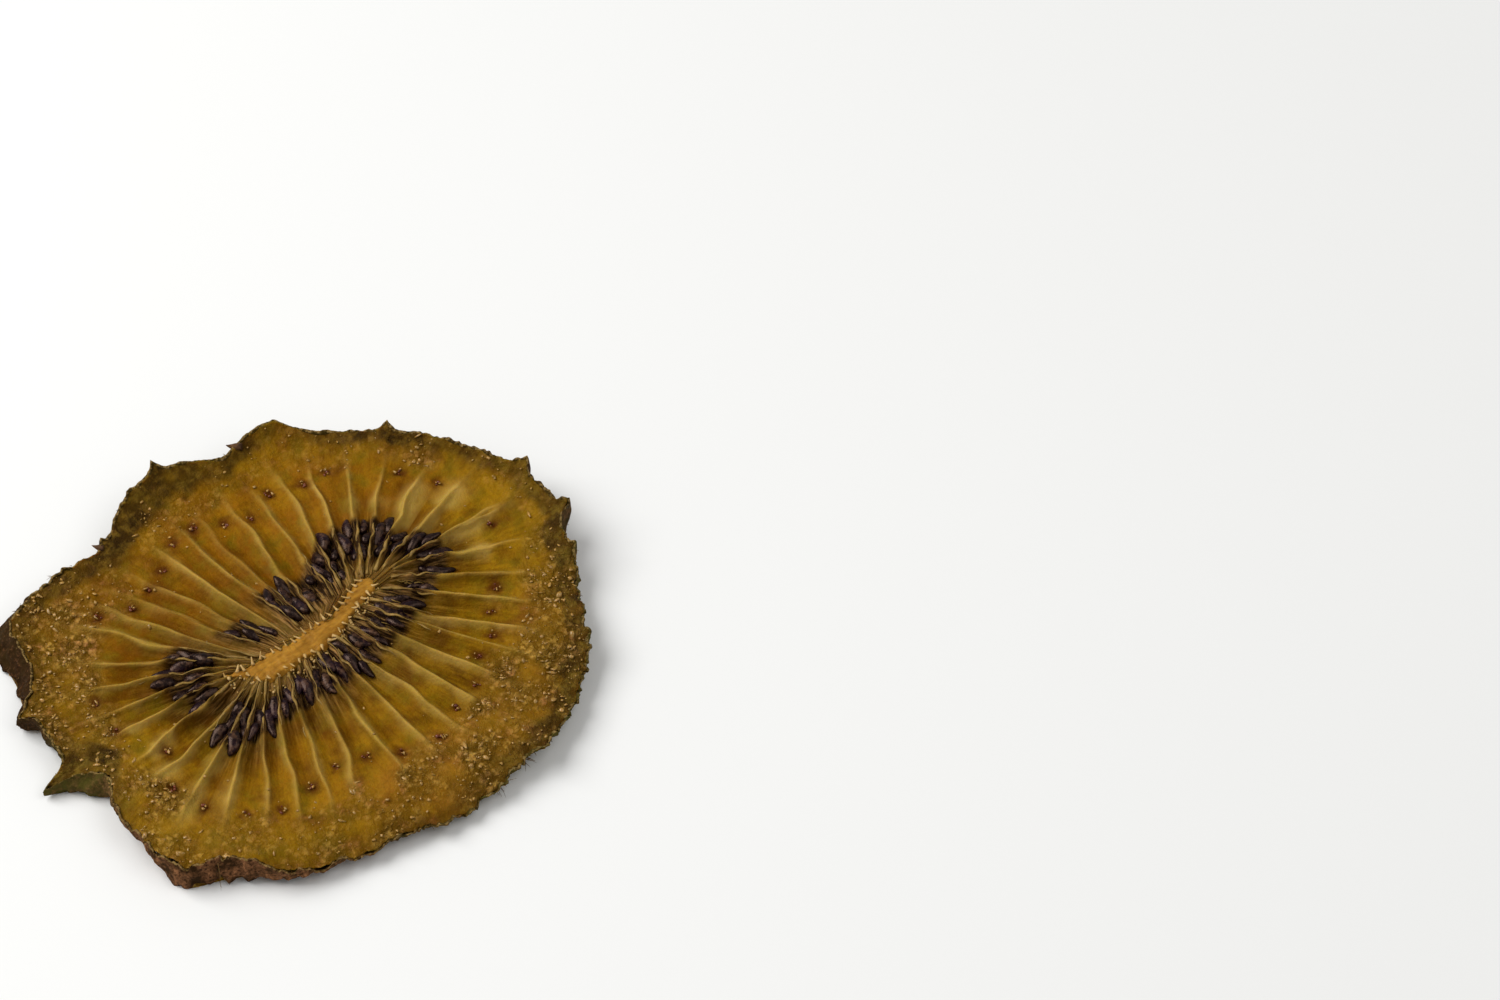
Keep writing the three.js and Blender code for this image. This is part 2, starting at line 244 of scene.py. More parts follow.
class Mesh:
    """A mesh under construction: points in millimetres, faces, and each pattern's value at each point."""

    def __init__(self) -> None:
        """Starts with nothing."""
        self.points: list[np.ndarray] = []
        self.faces: list[np.ndarray] = []
        self.marks: dict[str, list[np.ndarray]] = {}
        self.count = 0

    def add(
        self, points: np.ndarray, faces: list[np.ndarray], marks: dict[str, np.ndarray] | None = None
    ) -> None:
        """Adds a closed shape.

        Args:
            points: Its points, with X, Y and Z last.
            faces: Arrays of corners, each with three or four columns.
            marks: A value at each point for each of the patterns that the finish reads.
        """
        points = points.reshape(-1, 3)
        self.points.append(points)
        self.faces += [corners + self.count for corners in faces]
        for name, values in (marks or {}).items():
            self.marks.setdefault(name, []).append(np.broadcast_to(values, len(points)))
        self.count += len(points)

    def piece(self, name: str, material: bpy.types.Material, slot: Slot) -> bpy.types.Object:
        """Makes the Blender object, smooth and dressed, and sets it on the slice's body.

        Args:
            name: The piece's name.
            material: Its finish.
            slot: The record's slot that the finish belongs to; not used.

        Returns:
            The object.
        """
        mesh = bpy.data.meshes.new(name)
        faces = [row for corners in self.faces for row in corners.tolist()]
        mesh.from_pydata((np.concatenate(self.points) * MM).tolist(), [], faces)
        for mark, values in self.marks.items():
            layer = mesh.attributes.new(mark, "FLOAT", "POINT")
            layer.data.foreach_set("value", np.concatenate(values).astype(np.float32))
        mesh.polygons.foreach_set("use_smooth", [True] * len(mesh.polygons))
        mesh.materials.append(material)
        mesh.update()
        piece = in_scene(name, mesh)
        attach(piece, BODY)
        triangles = sum(len(polygon.vertices) - 2 for polygon in mesh.polygons)
        LOG.info("%s: %d triangles", name, triangles)
        return piece


def ring_quads(starts: np.ndarray, below: np.ndarray, count: int) -> np.ndarray:
    """Joins rings of points to the rings below them.

    Args:
        starts: The number of each ring's first point, as a column.
        below: The same of the ring below each one.
        count: How many points each ring has.

    Returns:
        The faces, with four corners each.
    """
    here = np.arange(count)
    after = (here + 1) % count
    quads = np.stack([starts + here, below + here, below + after, starts + after], axis=-1)
    return quads.reshape(-1, 4)


def ring_faces(rings: int, count: int) -> list[np.ndarray]:
    """Joins rings of points, with a point before the first and one after the last, into a closed skin.

    Args:
        rings: How many rings there are.
        count: How many points each one has.

    Returns:
        The faces: four-cornered between the rings, and three-cornered at both ends.
    """
    here = np.arange(count)
    after = (here + 1) % count
    starts = 1 + np.arange(rings - 1)[:, None] * count
    last = 1 + (rings - 1) * count
    first_fan = np.stack([np.zeros(count, int), 1 + here, 1 + after], axis=-1)
    last_fan = np.stack([np.full(count, last + count), last + after, last + here], axis=-1)
    return [ring_quads(starts, starts + count, count), first_fan, last_fan]


def strand(path: np.ndarray, radii: Any, sides: int, flat: float = 1.0) -> Shape:
    """Draws a thin closed strand along a path.

    Args:
        path: The points of its middle line.
        radii: Its radius at each point.
        sides: How many sides it has.
        flat: Its height as a share of its width.

    Returns:
        Its points and its faces.
    """
    steepest = 0.8  # the mean rise of a path that is still measured against Z
    along = np.gradient(path, axis=0)
    along /= np.linalg.norm(along, axis=1, keepdims=True)
    up = np.array([0.0, 0.0, 1.0] if abs(along[:, 2]).mean() < steepest else [0.0, 1.0, 0.0])
    side = np.cross(along, up)
    side /= np.linalg.norm(side, axis=1, keepdims=True)
    over = np.cross(side, along)
    turn = np.arange(sides) * (2 * math.pi / sides)
    radii = np.broadcast_to(radii, len(path))[:, None, None]
    ring = side[:, None] * np.cos(turn)[:, None] + over[:, None] * np.sin(turn)[:, None] * flat
    rings = path[:, None] + ring * radii
    points = np.concatenate([path[:1], rings.reshape(-1, 3), path[-1:]])
    return points, ring_faces(len(path), sides)


def blob(sides: int, rings: int) -> Shape:
    """Makes a ball of radius 1 whose poles lie on X.

    Args:
        sides: How many points each ring has.
        rings: How many rings there are between the poles.

    Returns:
        Its points and its faces.
    """
    down = np.linspace(0, math.pi, rings + 2)[1:-1, None]
    turn = np.arange(sides) * (2 * math.pi / sides)
    ring = flat_points(np.cos(down), np.sin(down) * np.cos(turn), np.sin(down) * np.sin(turn))
    pole = np.array([[1.0, 0, 0]])
    return np.concatenate([pole, ring.reshape(-1, 3), -pole]), ring_faces(rings, sides)


def turned(points: np.ndarray, roll: float, pitch: float, heading: float) -> np.ndarray:
    """Turns points about the origin.

    Args:
        points: The points, with X, Y and Z last.
        roll: How far to roll them about X first, in radians.
        pitch: How far to tip them up about Y next.
        heading: How far to turn them about Z last.

    Returns:
        The turned points.
    """
    for angle, (a, b) in ((roll, (1, 2)), (-pitch, (2, 0)), (heading, (0, 1))):
        cos, sin = math.cos(angle), math.sin(angle)
        moved = points.copy()
        moved[..., a] = points[..., a] * cos - points[..., b] * sin
        moved[..., b] = points[..., a] * sin + points[..., b] * cos
        points = moved
    return points


# ---- The form, which repeats the solid's ---------------------------------------------------------


@dataclass(frozen=True)
class Horn:
    """A horn of puckered skin: its round, how far out and up it reaches, and half its width in degrees."""

    at: float
    out: float
    up: float
    wide: float


@dataclass(frozen=True)
class Wave:
    """A slow wave of the whole slice: its height, the degrees of its direction, its wavelength and phase."""

    high: float
    along: float
    length: float
    phase: float


@dataclass(frozen=True)
class Form:
    """The slice's shape, worked out from the same sizes as the solid's."""

    box_middle: tuple[float, float] = (0.317, 0.316)  # from the middle that rounds are taken about
    rim: Pairs = (
        (0, 22.5), (20, 21.7), (35, 20.6), (45, 20.3), (55, 20.0), (63, 20.6), (76, 18.5), (85, 19.2),
        (100, 19.5), (113, 18.4), (125, 21.1), (137, 23.6), (148, 22.0), (157, 21.7), (170, 20.2),
        (183, 19.1), (196, 20.6), (210, 22.3), (219, 21.0), (232, 20.5), (250, 18.6), (275, 19.1),
        (290, 19.6), (305, 20.9), (335, 21.2), (350, 21.9),
    )
    horns: tuple[Horn, ...] = (
        Horn(7, 1.1, 0.5, 1.8), Horn(37, 0.6, 0.7, 1.4), Horn(62, 0.3, 0.5, 3.5), Horn(91, 0.8, 0.6, 1.8),
        Horn(113, 0.5, 0.5, 1.5), Horn(143, 0.2, 0.4, 3.0), Horn(159.5, 1.1, -1.0, 1.3),
        Horn(176, 3.4, -1.3, 2.2), Horn(212, 0.4, -0.3, 3.0), Horn(250, 0.1, 0.3, 2.0),
        Horn(294, 0.5, 0.4, 2.0), Horn(325, 0.1, 0.4, 2.4), Horn(345, 0.6, 0.7, 1.8),
        Horn(354, 1.5, 0.8, 2.0),
    )
    horn_root: float = 8  # the power of the share by which the horns' reach fades inwards
    slit: tuple[float, float] = (-6.2, 9.2)
    slit_half_width: float = 1.25
    sway: tuple[float, float, float, float] = (0.45, 0.85, 3.4, 11.5)  # middle, by, from and half a wave
    core_line: Pairs = (
        (-6.8, 0.7), (-5.6, 0.0), (-4.6, -0.5), (-2.5, -0.7), (0.5, -0.7), (3, -0.2), (5, 0.55),
        (7.4, 1.5),
    )
    top_face: Pairs = (
        (0, 2.5), (0.12, 2.35), (0.3, 2.25), (0.55, 2.35), (0.8, 2.6), (0.92, 2.75), (1, 2.9),
    )
    under_face: Pairs = ((0, 0.5), (0.12, 0.6), (0.3, 0.7), (0.6, 0.7), (0.85, 0.45), (1, 0.05))
    lip: Pairs = (
        (0, 0.9), (40, 0.8), (80, 0.9), (115, 0.6), (140, 0.1), (175, 0), (212, 0), (232, -0.7),
        (255, -1.1), (290, -1.1), (315, -0.8), (335, -0.2), (350, 0.6),
    )
    lip_from: float = 0.84
    lean: Pairs = (
        (0, 0.3), (50, 0.5), (100, 0.3), (125, -0.8), (140, -1.6), (151, -1.3), (159, -0.3), (166, 0.8),
        (176, 0.6), (186, 1.2), (202, 1.1), (210, -0.2), (216, -0.4), (228, 0.4), (245, 1.4), (290, 1.6),
        (320, 1.4), (340, 0.8),
    )
    bulge: float = 0.15
    waves: tuple[Wave, ...] = (
        Wave(0.22, 20, 46, 0.6), Wave(0.18, 105, 31, 2.1), Wave(0.12, 150, 19, 4.0),
    )
    # the height, times and phase of each wave of the rim
    rim_waves: tuple[tuple[float, float, float], ...] = ((0.28, 5, 0.4), (0.18, 11, 1.9))
    under_wave: float = 0.8
    pucker_from: float = 0.7
    rays: Pairs = (
        (5, 4), (20, 18), (31, 30), (41, 41), (48, 50), (58, 60), (66, 68), (73, 75), (84, 82), (92, 91),
        (98, 97), (106, 104), (114, 113), (121, 119), (128, 124), (134, 131), (141, 143), (150, 152),
        (159, 164), (169, 173), (184, 186), (201, 196), (212, 209), (219, 220), (226, 230), (234, 238),
        (242, 246), (252, 254), (262, 265), (271, 274), (279, 284), (288, 292), (296, 301), (305, 309),
        (312, 317), (324, 328), (338, 338), (353, 350),
    )
    ray_shares: tuple[float, float] = (0.3, 0.75)
    oval: tuple[float, float] = (23.3, 20.2)
    chamber_depth: Pairs = ((0, 0.05), (0.1, 0.4), (0.3, 0.35), (0.55, 0.15), (0.78, 0), (1, 0))
    ray_height: Pairs = ((0, 0.35), (0.08, 0.55), (0.35, 0.4), (0.6, 0.22), (0.8, 0.05), (1, 0))
    ray_half_width: float = 0.5
    under_relief: float = 0.7
    least_steps: int = 6  # points across the narrowest chamber

    @property
    def chambers(self) -> int:
        """How many seed chambers there are."""
        return len(self.rays)

    @property
    def slit_middle(self) -> float:
        """The X of the middle of the slit that the rays spread from."""
        return sum(self.slit) / 2

    def spine(self, x: Any) -> np.ndarray:
        """The Y of the slit's middle line at an X."""
        middle, by, start, half = self.sway
        return middle + by * np.sin(math.pi * (np.asarray(x) - start) / half)

    def ray_heading(self, ray: Any, share: Any) -> np.ndarray:
        """Finds the heading of a ray.

        Args:
            ray: The ray's number, which goes on counting past a full round.
            share: The share of the way to the rim.

        Returns:
            The heading there, which goes on past 360 with the number.
        """
        ray = np.asarray(ray, int)
        rounds, one = np.divmod(ray, self.chambers)
        places = np.array(self.rays, float)[one]
        among, end = places[..., 0], places[..., 1]
        near, far = ((1 - place) ** 2 for place in self.ray_shares)
        return end + (among - end) * ((1 - np.asarray(share)) ** 2 - far) / (near - far) + rounds * FULL_TURN

    def heading(self, share: Any, turn: np.ndarray) -> np.ndarray:
        """The heading of a turn at a share of the way to the rim, which goes on past 360 with the turn."""
        ray = np.floor(turn).astype(int)
        low, high = self.ray_heading(ray, share), self.ray_heading(ray + 1, share)
        return low + (high - low) * (turn - ray)

    def chamber_width(self, share: Any, turn: np.ndarray) -> np.ndarray:
        """The width of a turn's chamber at a share of the way to the rim."""
        ray = np.floor(turn).astype(int)
        wide = np.radians(self.ray_heading(ray + 1, share) - self.ray_heading(ray, share))
        return wide * (self.slit_half_width + share * self.oval[1])

    def horned(self, rounds: np.ndarray, way: str) -> np.ndarray:
        """What the horns add to the rim at each round, out or up."""
        total = np.zeros(np.shape(rounds))
        for horn in self.horns:
            off = np.mod(rounds - horn.at + FULL_TURN / 2, FULL_TURN) - FULL_TURN / 2
            total = total + getattr(horn, way) * np.exp(-np.abs(off) / horn.wide)
        return total

    def plan(self, share: Any, turn: np.ndarray) -> tuple[np.ndarray, np.ndarray, np.ndarray]:
        """Finds the place of a share and turn in plan.

        Args:
            share: The share of the way from the edge of the slit to the rim.
            turn: The turns.

        Returns:
            X, Y and the round, all about the middle that rounds are taken about.
        """
        heading = np.radians(self.heading(share, turn))
        half = (self.slit[1] - self.slit[0]) / 2
        slit_x = self.slit_middle + half * np.cos(heading)
        slit_y = self.spine(slit_x) + self.slit_half_width * np.sin(heading)
        angle = np.arctan2(self.oval[1] * np.sin(heading), self.oval[0] * np.cos(heading))
        rounds = np.degrees(angle)
        radius = around(self.rim, rounds)
        horn = self.horned(rounds, "out") * share**self.horn_root
        x = slit_x + (radius * np.cos(angle) - slit_x) * share + horn * np.cos(angle)
        y = slit_y + (radius * np.sin(angle) - slit_y) * share + horn * np.sin(angle)
        return x, y, rounds

    def warp(self, x: np.ndarray, y: np.ndarray, share: Any) -> np.ndarray:
        """The slow waves of the whole slice at each place, which fade towards the core."""
        total = 0.0
        for wave in self.waves:
            along = x * math.cos(math.radians(wave.along)) + y * math.sin(math.radians(wave.along))
            total = total + wave.high * np.sin(2 * math.pi * along / wave.length + wave.phase)
        return total * np.clip(np.asarray(share) * 2, 0, 1)

    def rim_wave(self, rounds: np.ndarray) -> np.ndarray:
        """The waves of the rim's height."""
        angle = np.radians(rounds)
        return sum(high * np.sin(times * angle + phase) for high, times, phase in self.rim_waves)

    def near_rim(self, share: Any, start: float) -> np.ndarray:
        """Rises from 0 where the share is start to 1 at the rim."""
        return np.clip((np.asarray(share) - start) / (1 - start), 0, None)

    def relief(self, share: Any, turn: np.ndarray) -> np.ndarray:
        """How far a face stands out: the rays rise and the chambers sink."""
        across = turn - np.floor(turn)
        to_ray = np.minimum(across, 1 - across) * self.chamber_width(share, turn)
        ridge = through(self.ray_height, share) * hump(to_ray, self.ray_half_width)
        return ridge - through(self.chamber_depth, share) * 4 * across * (1 - across)

    def top(self, share: Any, turn: np.ndarray) -> np.ndarray:
        """The height of the top face at a share and turn."""
        x, y, rounds = self.plan(share, turn)
        puckers = self.rim_wave(rounds) + self.horned(rounds, "up")
        puckers = puckers * self.near_rim(share, self.pucker_from) ** 3
        lip = around(self.lip, rounds) * self.near_rim(share, self.lip_from) ** 1.5
        face = through(self.top_face, share) + self.relief(share, turn) + self.warp(x, y, share)
        return face + puckers + lip

    def under(self, share: Any, turn: np.ndarray) -> np.ndarray:
        """The height of the under face, which is never below the plane that the slice lies on."""
        x, y, rounds = self.plan(share, turn)
        waves = self.warp(x, y, share)
        face = through(self.under_face, share) - self.relief(share, turn) * self.under_relief + waves
        settled = self.rim_wave(rounds) * self.under_wave - waves
        return np.maximum(face + settled * self.near_rim(share, self.pucker_from) ** 2, 0)

    def placed(self, x: Any, y: Any, z: Any, rounds: np.ndarray, out: Any) -> np.ndarray:
        """Moves places out by a distance, and sets them about the middle of the slice's box."""
        way = outward(rounds)
        x, y = x + out * way[..., 0], y + out * way[..., 1]
        return flat_points(x - self.box_middle[0], y - self.box_middle[1], z)

    def on_face(self, face: Face, share: Any, turn: np.ndarray) -> tuple[np.ndarray, np.ndarray]:
        """Finds points of a face.

        Args:
            face: The face.
            share: The share of the way to the rim.
            turn: The turns.

        Returns:
            The points and their rounds.
        """
        x, y, rounds = self.plan(share, turn)
        out = face.value * 0.5 * around(self.lean, rounds) * share**self.horn_root
        height = self.top if face is Face.TOP else self.under
        return self.placed(x, y, height(share, turn), rounds, out), rounds

    def on_skin(self, down: Any, turn: np.ndarray) -> tuple[np.ndarray, np.ndarray]:
        """Finds points of the skin's outer side.

        Args:
            down: The share of the way down it.
            turn: The turns.

        Returns:
            The points and their rounds.
        """
        x, y, rounds = self.plan(1.0, turn)
        out = around(self.lean, rounds) * (0.5 - down) + self.bulge
        top, bottom = self.top(1.0, turn), self.under(1.0, turn)
        return self.placed(x, y, top + (bottom - top) * down, rounds, out), rounds

    def turns(self, count: int) -> np.ndarray:
        """Turns all the way round, about that many, as even as the chambers allow."""
        found = []
        for ray in range(self.chambers):
            wide = float(self.ray_heading(ray + 1, 1.0) - self.ray_heading(ray, 1.0))
            steps = max(self.least_steps, round(count * wide / FULL_TURN))
            found.append(ray + np.arange(steps) / steps)
        return np.concatenate(found)


FORM = Form()


# ---- Nodes and colours ---------------------------------------------------------------------------


def linear(code: str) -> tuple[float, float, float, float]:
    """Turns a colour as sRGB hex, such as #8A6420, into linear RGBA."""
    shares = [int(code[i : i + 2], 16) / 255 for i in (1, 3, 5)]
    rgb = [c / 12.92 if c <= 0.04045 else ((c + 0.055) / 1.055) ** 2.4 for c in shares]
    return (*rgb, 1.0)


def per_metre(size: float) -> float:
    """The scale of a texture whose marks are that many millimetres apart."""
    return 1 / (size * MM)


def set_socket(tree: bpy.types.NodeTree, socket: bpy.types.NodeSocket, value: Any) -> None:
    """Fills an input socket.

    Args:
        tree: The tree that it belongs to.
        socket: The socket.
        value: A socket to link, a value, a colour as hex, or None to leave it as it is.
    """
    if isinstance(value, bpy.types.NodeSocket):
        tree.links.new(value, socket)
    elif value is not None:
        socket.default_value = linear(value) if isinstance(value, str) else value


def add_node(tree: bpy.types.NodeTree, kind: str, *inputs: Any, out: str | int = 0, **settings: Any) -> Any:
    """Adds a node to a tree.

    Args:
        tree: The tree.
        kind: The node's type, without the word ShaderNode before it.
        *inputs: What the inputs in use get, in their order.
        out: The name or number of the output to give back.
        **settings: Values of the node's own properties.

    Returns:
        The output socket.
    """
    node = tree.nodes.new("ShaderNode" + kind)
    for name, value in settings.items():
        setattr(node, name, value)
    used = [socket for socket in node.inputs if socket.enabled]
    for socket, value in zip(used, inputs):
        set_socket(tree, socket, value)
    if isinstance(out, str):
        return node.outputs[out]
    return [socket for socket in node.outputs if socket.enabled][out]


LAYER = {"data_type": "RGBA", "clamp_factor": True}
SCALED = {"operation": "MULTIPLY_ADD", "use_clamp": True}
Contrast = tuple[float, float]  # what a pattern is multiplied by, and what is then added to it
AddNode = Callable[..., Any]  # add_node() with its tree filled in


def lay_over(node: AddNode, colour: Any, layers: tuple[tuple[Any, Any], ...]) -> Any:
    """Lays colours over a colour, one after another.

    Args:
        node: Adds a node to the material.
        colour: The lowest colour.
        layers: How much of each layer shows, and its colour.

    Returns:
        The colour with its layers.
    """
    for factor, layer in layers:
        colour = node("Mix", factor, colour, layer, **LAYER)
    return colour


@dataclass(frozen=True)
class Finish:
    """A surface finish. Each kind says in sockets() what its colour, gloss and grain are."""

    def material(self) -> bpy.types.Material:
        """Makes the material, named for the finish.

        Returns:
            The material.
        """
        material = bpy.data.materials.new(type(self).__name__)
        material.use_nodes = True
        tree = material.node_tree
        shader = tree.nodes["Principled BSDF"]
        for name, value in self.sockets(partial(add_node, tree)).items():
            set_socket(tree, shader.inputs[name], value)
        return material

    def sockets(self, node: AddNode) -> dict[str, Any]:
        """Draws the patterns.

        Args:
            node: Adds a node to the material.

        Returns:
            What each of the shader's sockets gets, by name.
        """
        raise NotImplementedError


@dataclass(frozen=True)
class DriedFlesh(Finish):
    """Kiwi flesh, dried until it is leathery amber: translucent and satin, with little gloss.

    The eye gets pale rays on darker chambers, a purple-brown bed under the seeds, and a pebbled outer zone
    whose bumps are pale and whose gaps are dark.
    """

    chamber_dark: str = "#553400"
    chamber_pale: str = "#966E0A"
    warm: str = "#885204"
    red: str = "#5E3400"
    olive: str = "#705808"
    blush: str = "#98601E"
    ray: str = "#BE964C"
    ray_olive: str = "#A48A34"
    bed_dark: str = "#1A0C06"
    bed_pale: str = "#8C6838"
    tissue: str = "#A27A46"
    gap: str = "#5A3E06"
    granule: str = "#C09646"
    tan: str = "#B47C48"
    rim_dark: str = "#2E1E08"
    rim_olive: str = "#66541E"
    rim_brown: str = "#664210"
    vein_end: str = "#441606"
    specular_tint: str = "#FFC060"
    mottle: float = 2.6  # mm between patches of paler and darker flesh
    blotch: float = 1.8  # mm between small blotches
    speck: float = 0.8  # mm between the mottles of the rim
    wrinkle: float = 0.35  # mm between fine wrinkles, drawn coarser than the real 0.1 mm so that they show
    granules: tuple[float, float] = (0.6, 0.3)  # mm between the larger and the smaller granules
    twist: float = 0.45  # mm between the bends of the granules' outlines
    bend: float = 0.8  # mm that the outlines stray from round
    relief: float = 0.18  # mm that the finest bumps stand out
    streaks_across: Scale = (9.0, 6.0, 1.0)  # streaks to a chamber, and to the way from the slit to the rim
    by_patches: Contrast = (2.4, -1.2)
    by_streaks: Contrast = (1.5, -0.75)
    warm_amount: Contrast = (1.4, -0.1)
    olive_amount: Contrast = (4.0, -2.0)
    red_amount: Contrast = (4.0, -2.2)
    tan_amount: Contrast = (4.0, -1.7)
    creases: Contrast = (1.6, -0.75)
    bed_fibres: Contrast = (5.0, -2.35)
    rim_specks: Contrast = (5.0, -2.3)
    gloss: Contrast = (0.5, 0.2)

    def sockets(self, node: AddNode) -> dict[str, Any]:
        """Draws the flesh's patterns."""
        place = node("TexCoord", out="Object")
        names = "light", "warm", "blush", "ray", "bed", "tissue", "grain", "rim", "vein_end", "turn", "share"
        mark = {name: node("Attribute", out="Fac", attribute_name=name) for name in names}
        fine = node("TexNoise", place, per_metre(self.wrinkle), 5.0, 0.65, out="Fac")
        polar = node("CombineXYZ", mark["turn"], mark["share"], 0.0)
        stretched = node("Mapping", polar, None, None, self.streaks_across)
        streaks = node("TexNoise", stretched, 1.0, 5.0, 0.65, out="Fac")
        lumps, bumps = self.granulation(node, place)
        lit = self.lit(node, place, streaks, mark["light"])
        chambers = node("Mix", lit, self.chamber_dark, self.chamber_pale, **LAYER)
        height = node("Math", bumps, mark["grain"], fine, operation="MULTIPLY_ADD")
        return {
            "Base Color": lay_over(node, chambers, self.layers(node, place, mark, (fine, streaks, lumps))),
            "Roughness": node("Math", fine, *self.gloss, **SCALED),
            "Normal": node("Bump", 0.7, self.relief * MM, None, height),
            "IOR": 1.45,
            "Specular IOR Level": 0.18,
            "Specular Tint": self.specular_tint,
            "Subsurface Weight": 0.25,
            "Subsurface Radius": (1.0, 0.5, 0.1),
            "Subsurface Scale": 0.5 * MM,
        }

    def lit(self, node: AddNode, place: Any, streaks: Any, light: Any) -> Any:
        """Works out how pale the chambers are.

        Args:
            node: Adds a node to the material.
            place: The place on the slice.
            streaks: The streaks along the chambers.
            light: How pale each part of the slice is.

        Returns:
            The share of the pale colour.
        """
        patches = node("TexNoise", place, per_metre(self.mottle), 2.0, 0.5, out="Fac")
        gain, offset = self.by_streaks
        lit = node("Math", patches, *self.by_patches, operation="MULTIPLY_ADD")
        lit = node("Math", lit, -offset, operation="SUBTRACT")
        lit = node("Math", streaks, gain, lit, operation="MULTIPLY_ADD")
        return node("Math", lit, light, operation="ADD", use_clamp=True)

    def layers(
        self, node: AddNode, place: Any, mark: dict[str, Any], patterns: tuple[Any, Any, Any]
    ) -> tuple[tuple[Any, Any], ...]:
        """Lists the colours that lie over the chambers'.

        Args:
            node: Adds a node to the material.
            place: The place on the slice.
            mark: The mesh's marks by name.
            patterns: The fine wrinkles, the streaks and the granules.

        Returns:
            How much of each layer shows, and its colour, from the lowest up.
        """
        fine, streaks, lumps = patterns
        blotches = node("TexNoise", place, per_metre(self.blotch), 2.0, 0.5, out="Color")
        specks = node("TexNoise", place, per_metre(self.speck), 4.0, 0.6, out="Fac")
        first, second, third = node("SeparateColor", blotches).node.outputs[:3]
        warm = node("Math", mark["warm"], first, operation="MULTIPLY", use_clamp=True)
        bed_lit = node("Math", streaks, *self.bed_fibres, **SCALED)
        tanned = node("Math", third, *self.tan_amount, **SCALED)
        crust = node("Mix", tanned, self.granule, self.tan, **LAYER)
        rim_pale = node("Mix", mark["warm"], self.rim_olive, self.rim_brown, **LAYER)
        rim_lit = node("Math", specks, *self.rim_specks, **SCALED)
        return (
            (node("Math", warm, *self.warm_amount, **SCALED), self.warm),
            (node("Math", second, *self.olive_amount, **SCALED), self.olive),
            (node("Math", third, *self.red_amount, **SCALED), self.red),
            (node("Math", first, mark["blush"], operation="MULTIPLY", use_clamp=True), self.blush),
            (node("Math", fine, *self.creases, **SCALED), self.chamber_dark),
            (mark["ray"], node("Mix", second, self.ray, self.ray_olive, **LAYER)),
            (mark["bed"], node("Mix", bed_lit, self.bed_dark, self.bed_pale, **LAYER)),
            (node("Math", bed_lit, mark["tissue"], operation="MULTIPLY"), self.tissue),
            (mark["grain"], node("Mix", lumps, self.gap, crust, **LAYER)),
            (mark["rim"], node("Mix", rim_lit, self.rim_dark, rim_pale, **LAYER)),
            (mark["vein_end"], self.vein_end),
        )

    def granulation(self, node: AddNode, place: Any) -> tuple[Any, Any]:
        """Draws granules of two sizes, bent out of round.

        Args:
            node: Adds a node to the material.
            place: The place on the slice.

        Returns:
            How pale each granule is, and how high.
        """
        twists = node("TexNoise", place, per_metre(self.twist), 2.0, 0.6, out="Color")
        bent = node("VectorMath", twists, (self.bend * MM,) * 3, place, operation="MULTIPLY_ADD")
        heights, shades = [], []
        for size in self.granules:
            cells = node("TexVoronoi", bent, per_metre(size), 0.0, out="Distance").node.outputs
            heights.append(node("Math", cells["Distance"], -1.9, 1.15, **SCALED))
            own = node("SeparateColor", cells["Color"])
            shades.append(node("Math", heights[-1], own, operation="MULTIPLY"))
        faint = node("Math", shades[1], 0.6, operation="MULTIPLY")
        pale = node("Math", shades[0], 1.3, faint, **SCALED)
        return pale, node("Math", heights[0], 0.8, heights[1], operation="MULTIPLY_ADD")


@dataclass(frozen=True)
class FuzzySkin(Finish):
    """The fruit's thin skin, dried to brown paper with a felt of short hairs: matt, wrinkled and mottled."""

    dark: str = "#30160A"
    pale: str = "#C4865A"
    inside: str = "#4A3A12"
    moss: str = "#5A5420"
    edge: str = "#A48650"
    felt: float = 0.3  # mm between tufts of the felt, drawn coarser than the real 0.1 mm so that they show
    mottle: float = 1.1  # mm between patches
    relief: float = 0.3  # mm that the felt stands out
    tufts: Contrast = (2.4, -0.85)
    dark_patches: Contrast = (5.0, -2.2)
    worn: Contrast = (7.0, -2.5)

    def sockets(self, node: AddNode) -> dict[str, Any]:
        """Draws the skin's patterns."""
        place = node("TexCoord", out="Object")
        names = ("inside", "moss", "edge", "painted_shade")
        mark = {name: node("Attribute", out="Fac", attribute_name=name) for name in names}
        felt = node("TexNoise", place, per_metre(self.felt), 5.0, 0.7, out="Fac")
        patches = node("TexNoise", place, per_metre(self.mottle), 4.0, 0.6, out="Fac")
        tufts = node("Math", felt, *self.tufts, **SCALED)
        unfelted = node("Math", tufts, -0.8, operation="MULTIPLY")
        mossy = node("Math", patches, mark["moss"], operation="MULTIPLY", use_clamp=True)
        worn = node("Math", felt, mark["edge"], operation="MULTIPLY")
        felted = node("Mix", tufts, self.dark, self.pale, **LAYER)
        colour = lay_over(node, felted, (
            (node("Math", patches, *self.dark_patches, **SCALED), self.dark),
            # painted shade: darkens the skin by heading, most on its far and left sides, less where the
            # felt's tufts stand up
            (node("Math", mark["painted_shade"], 1.5, unfelted, **SCALED), self.dark),
            (mossy, self.moss),
            (mark["inside"], self.inside),
            (node("Math", worn, *self.worn, **SCALED), self.edge),
        ))
        return {
            "Base Color": colour,
            "Roughness": 0.85,
            "Normal": node("Bump", 1.0, self.relief * MM, None, felt),
            "IOR": 1.45,
            "Specular IOR Level": 0.06,
        }


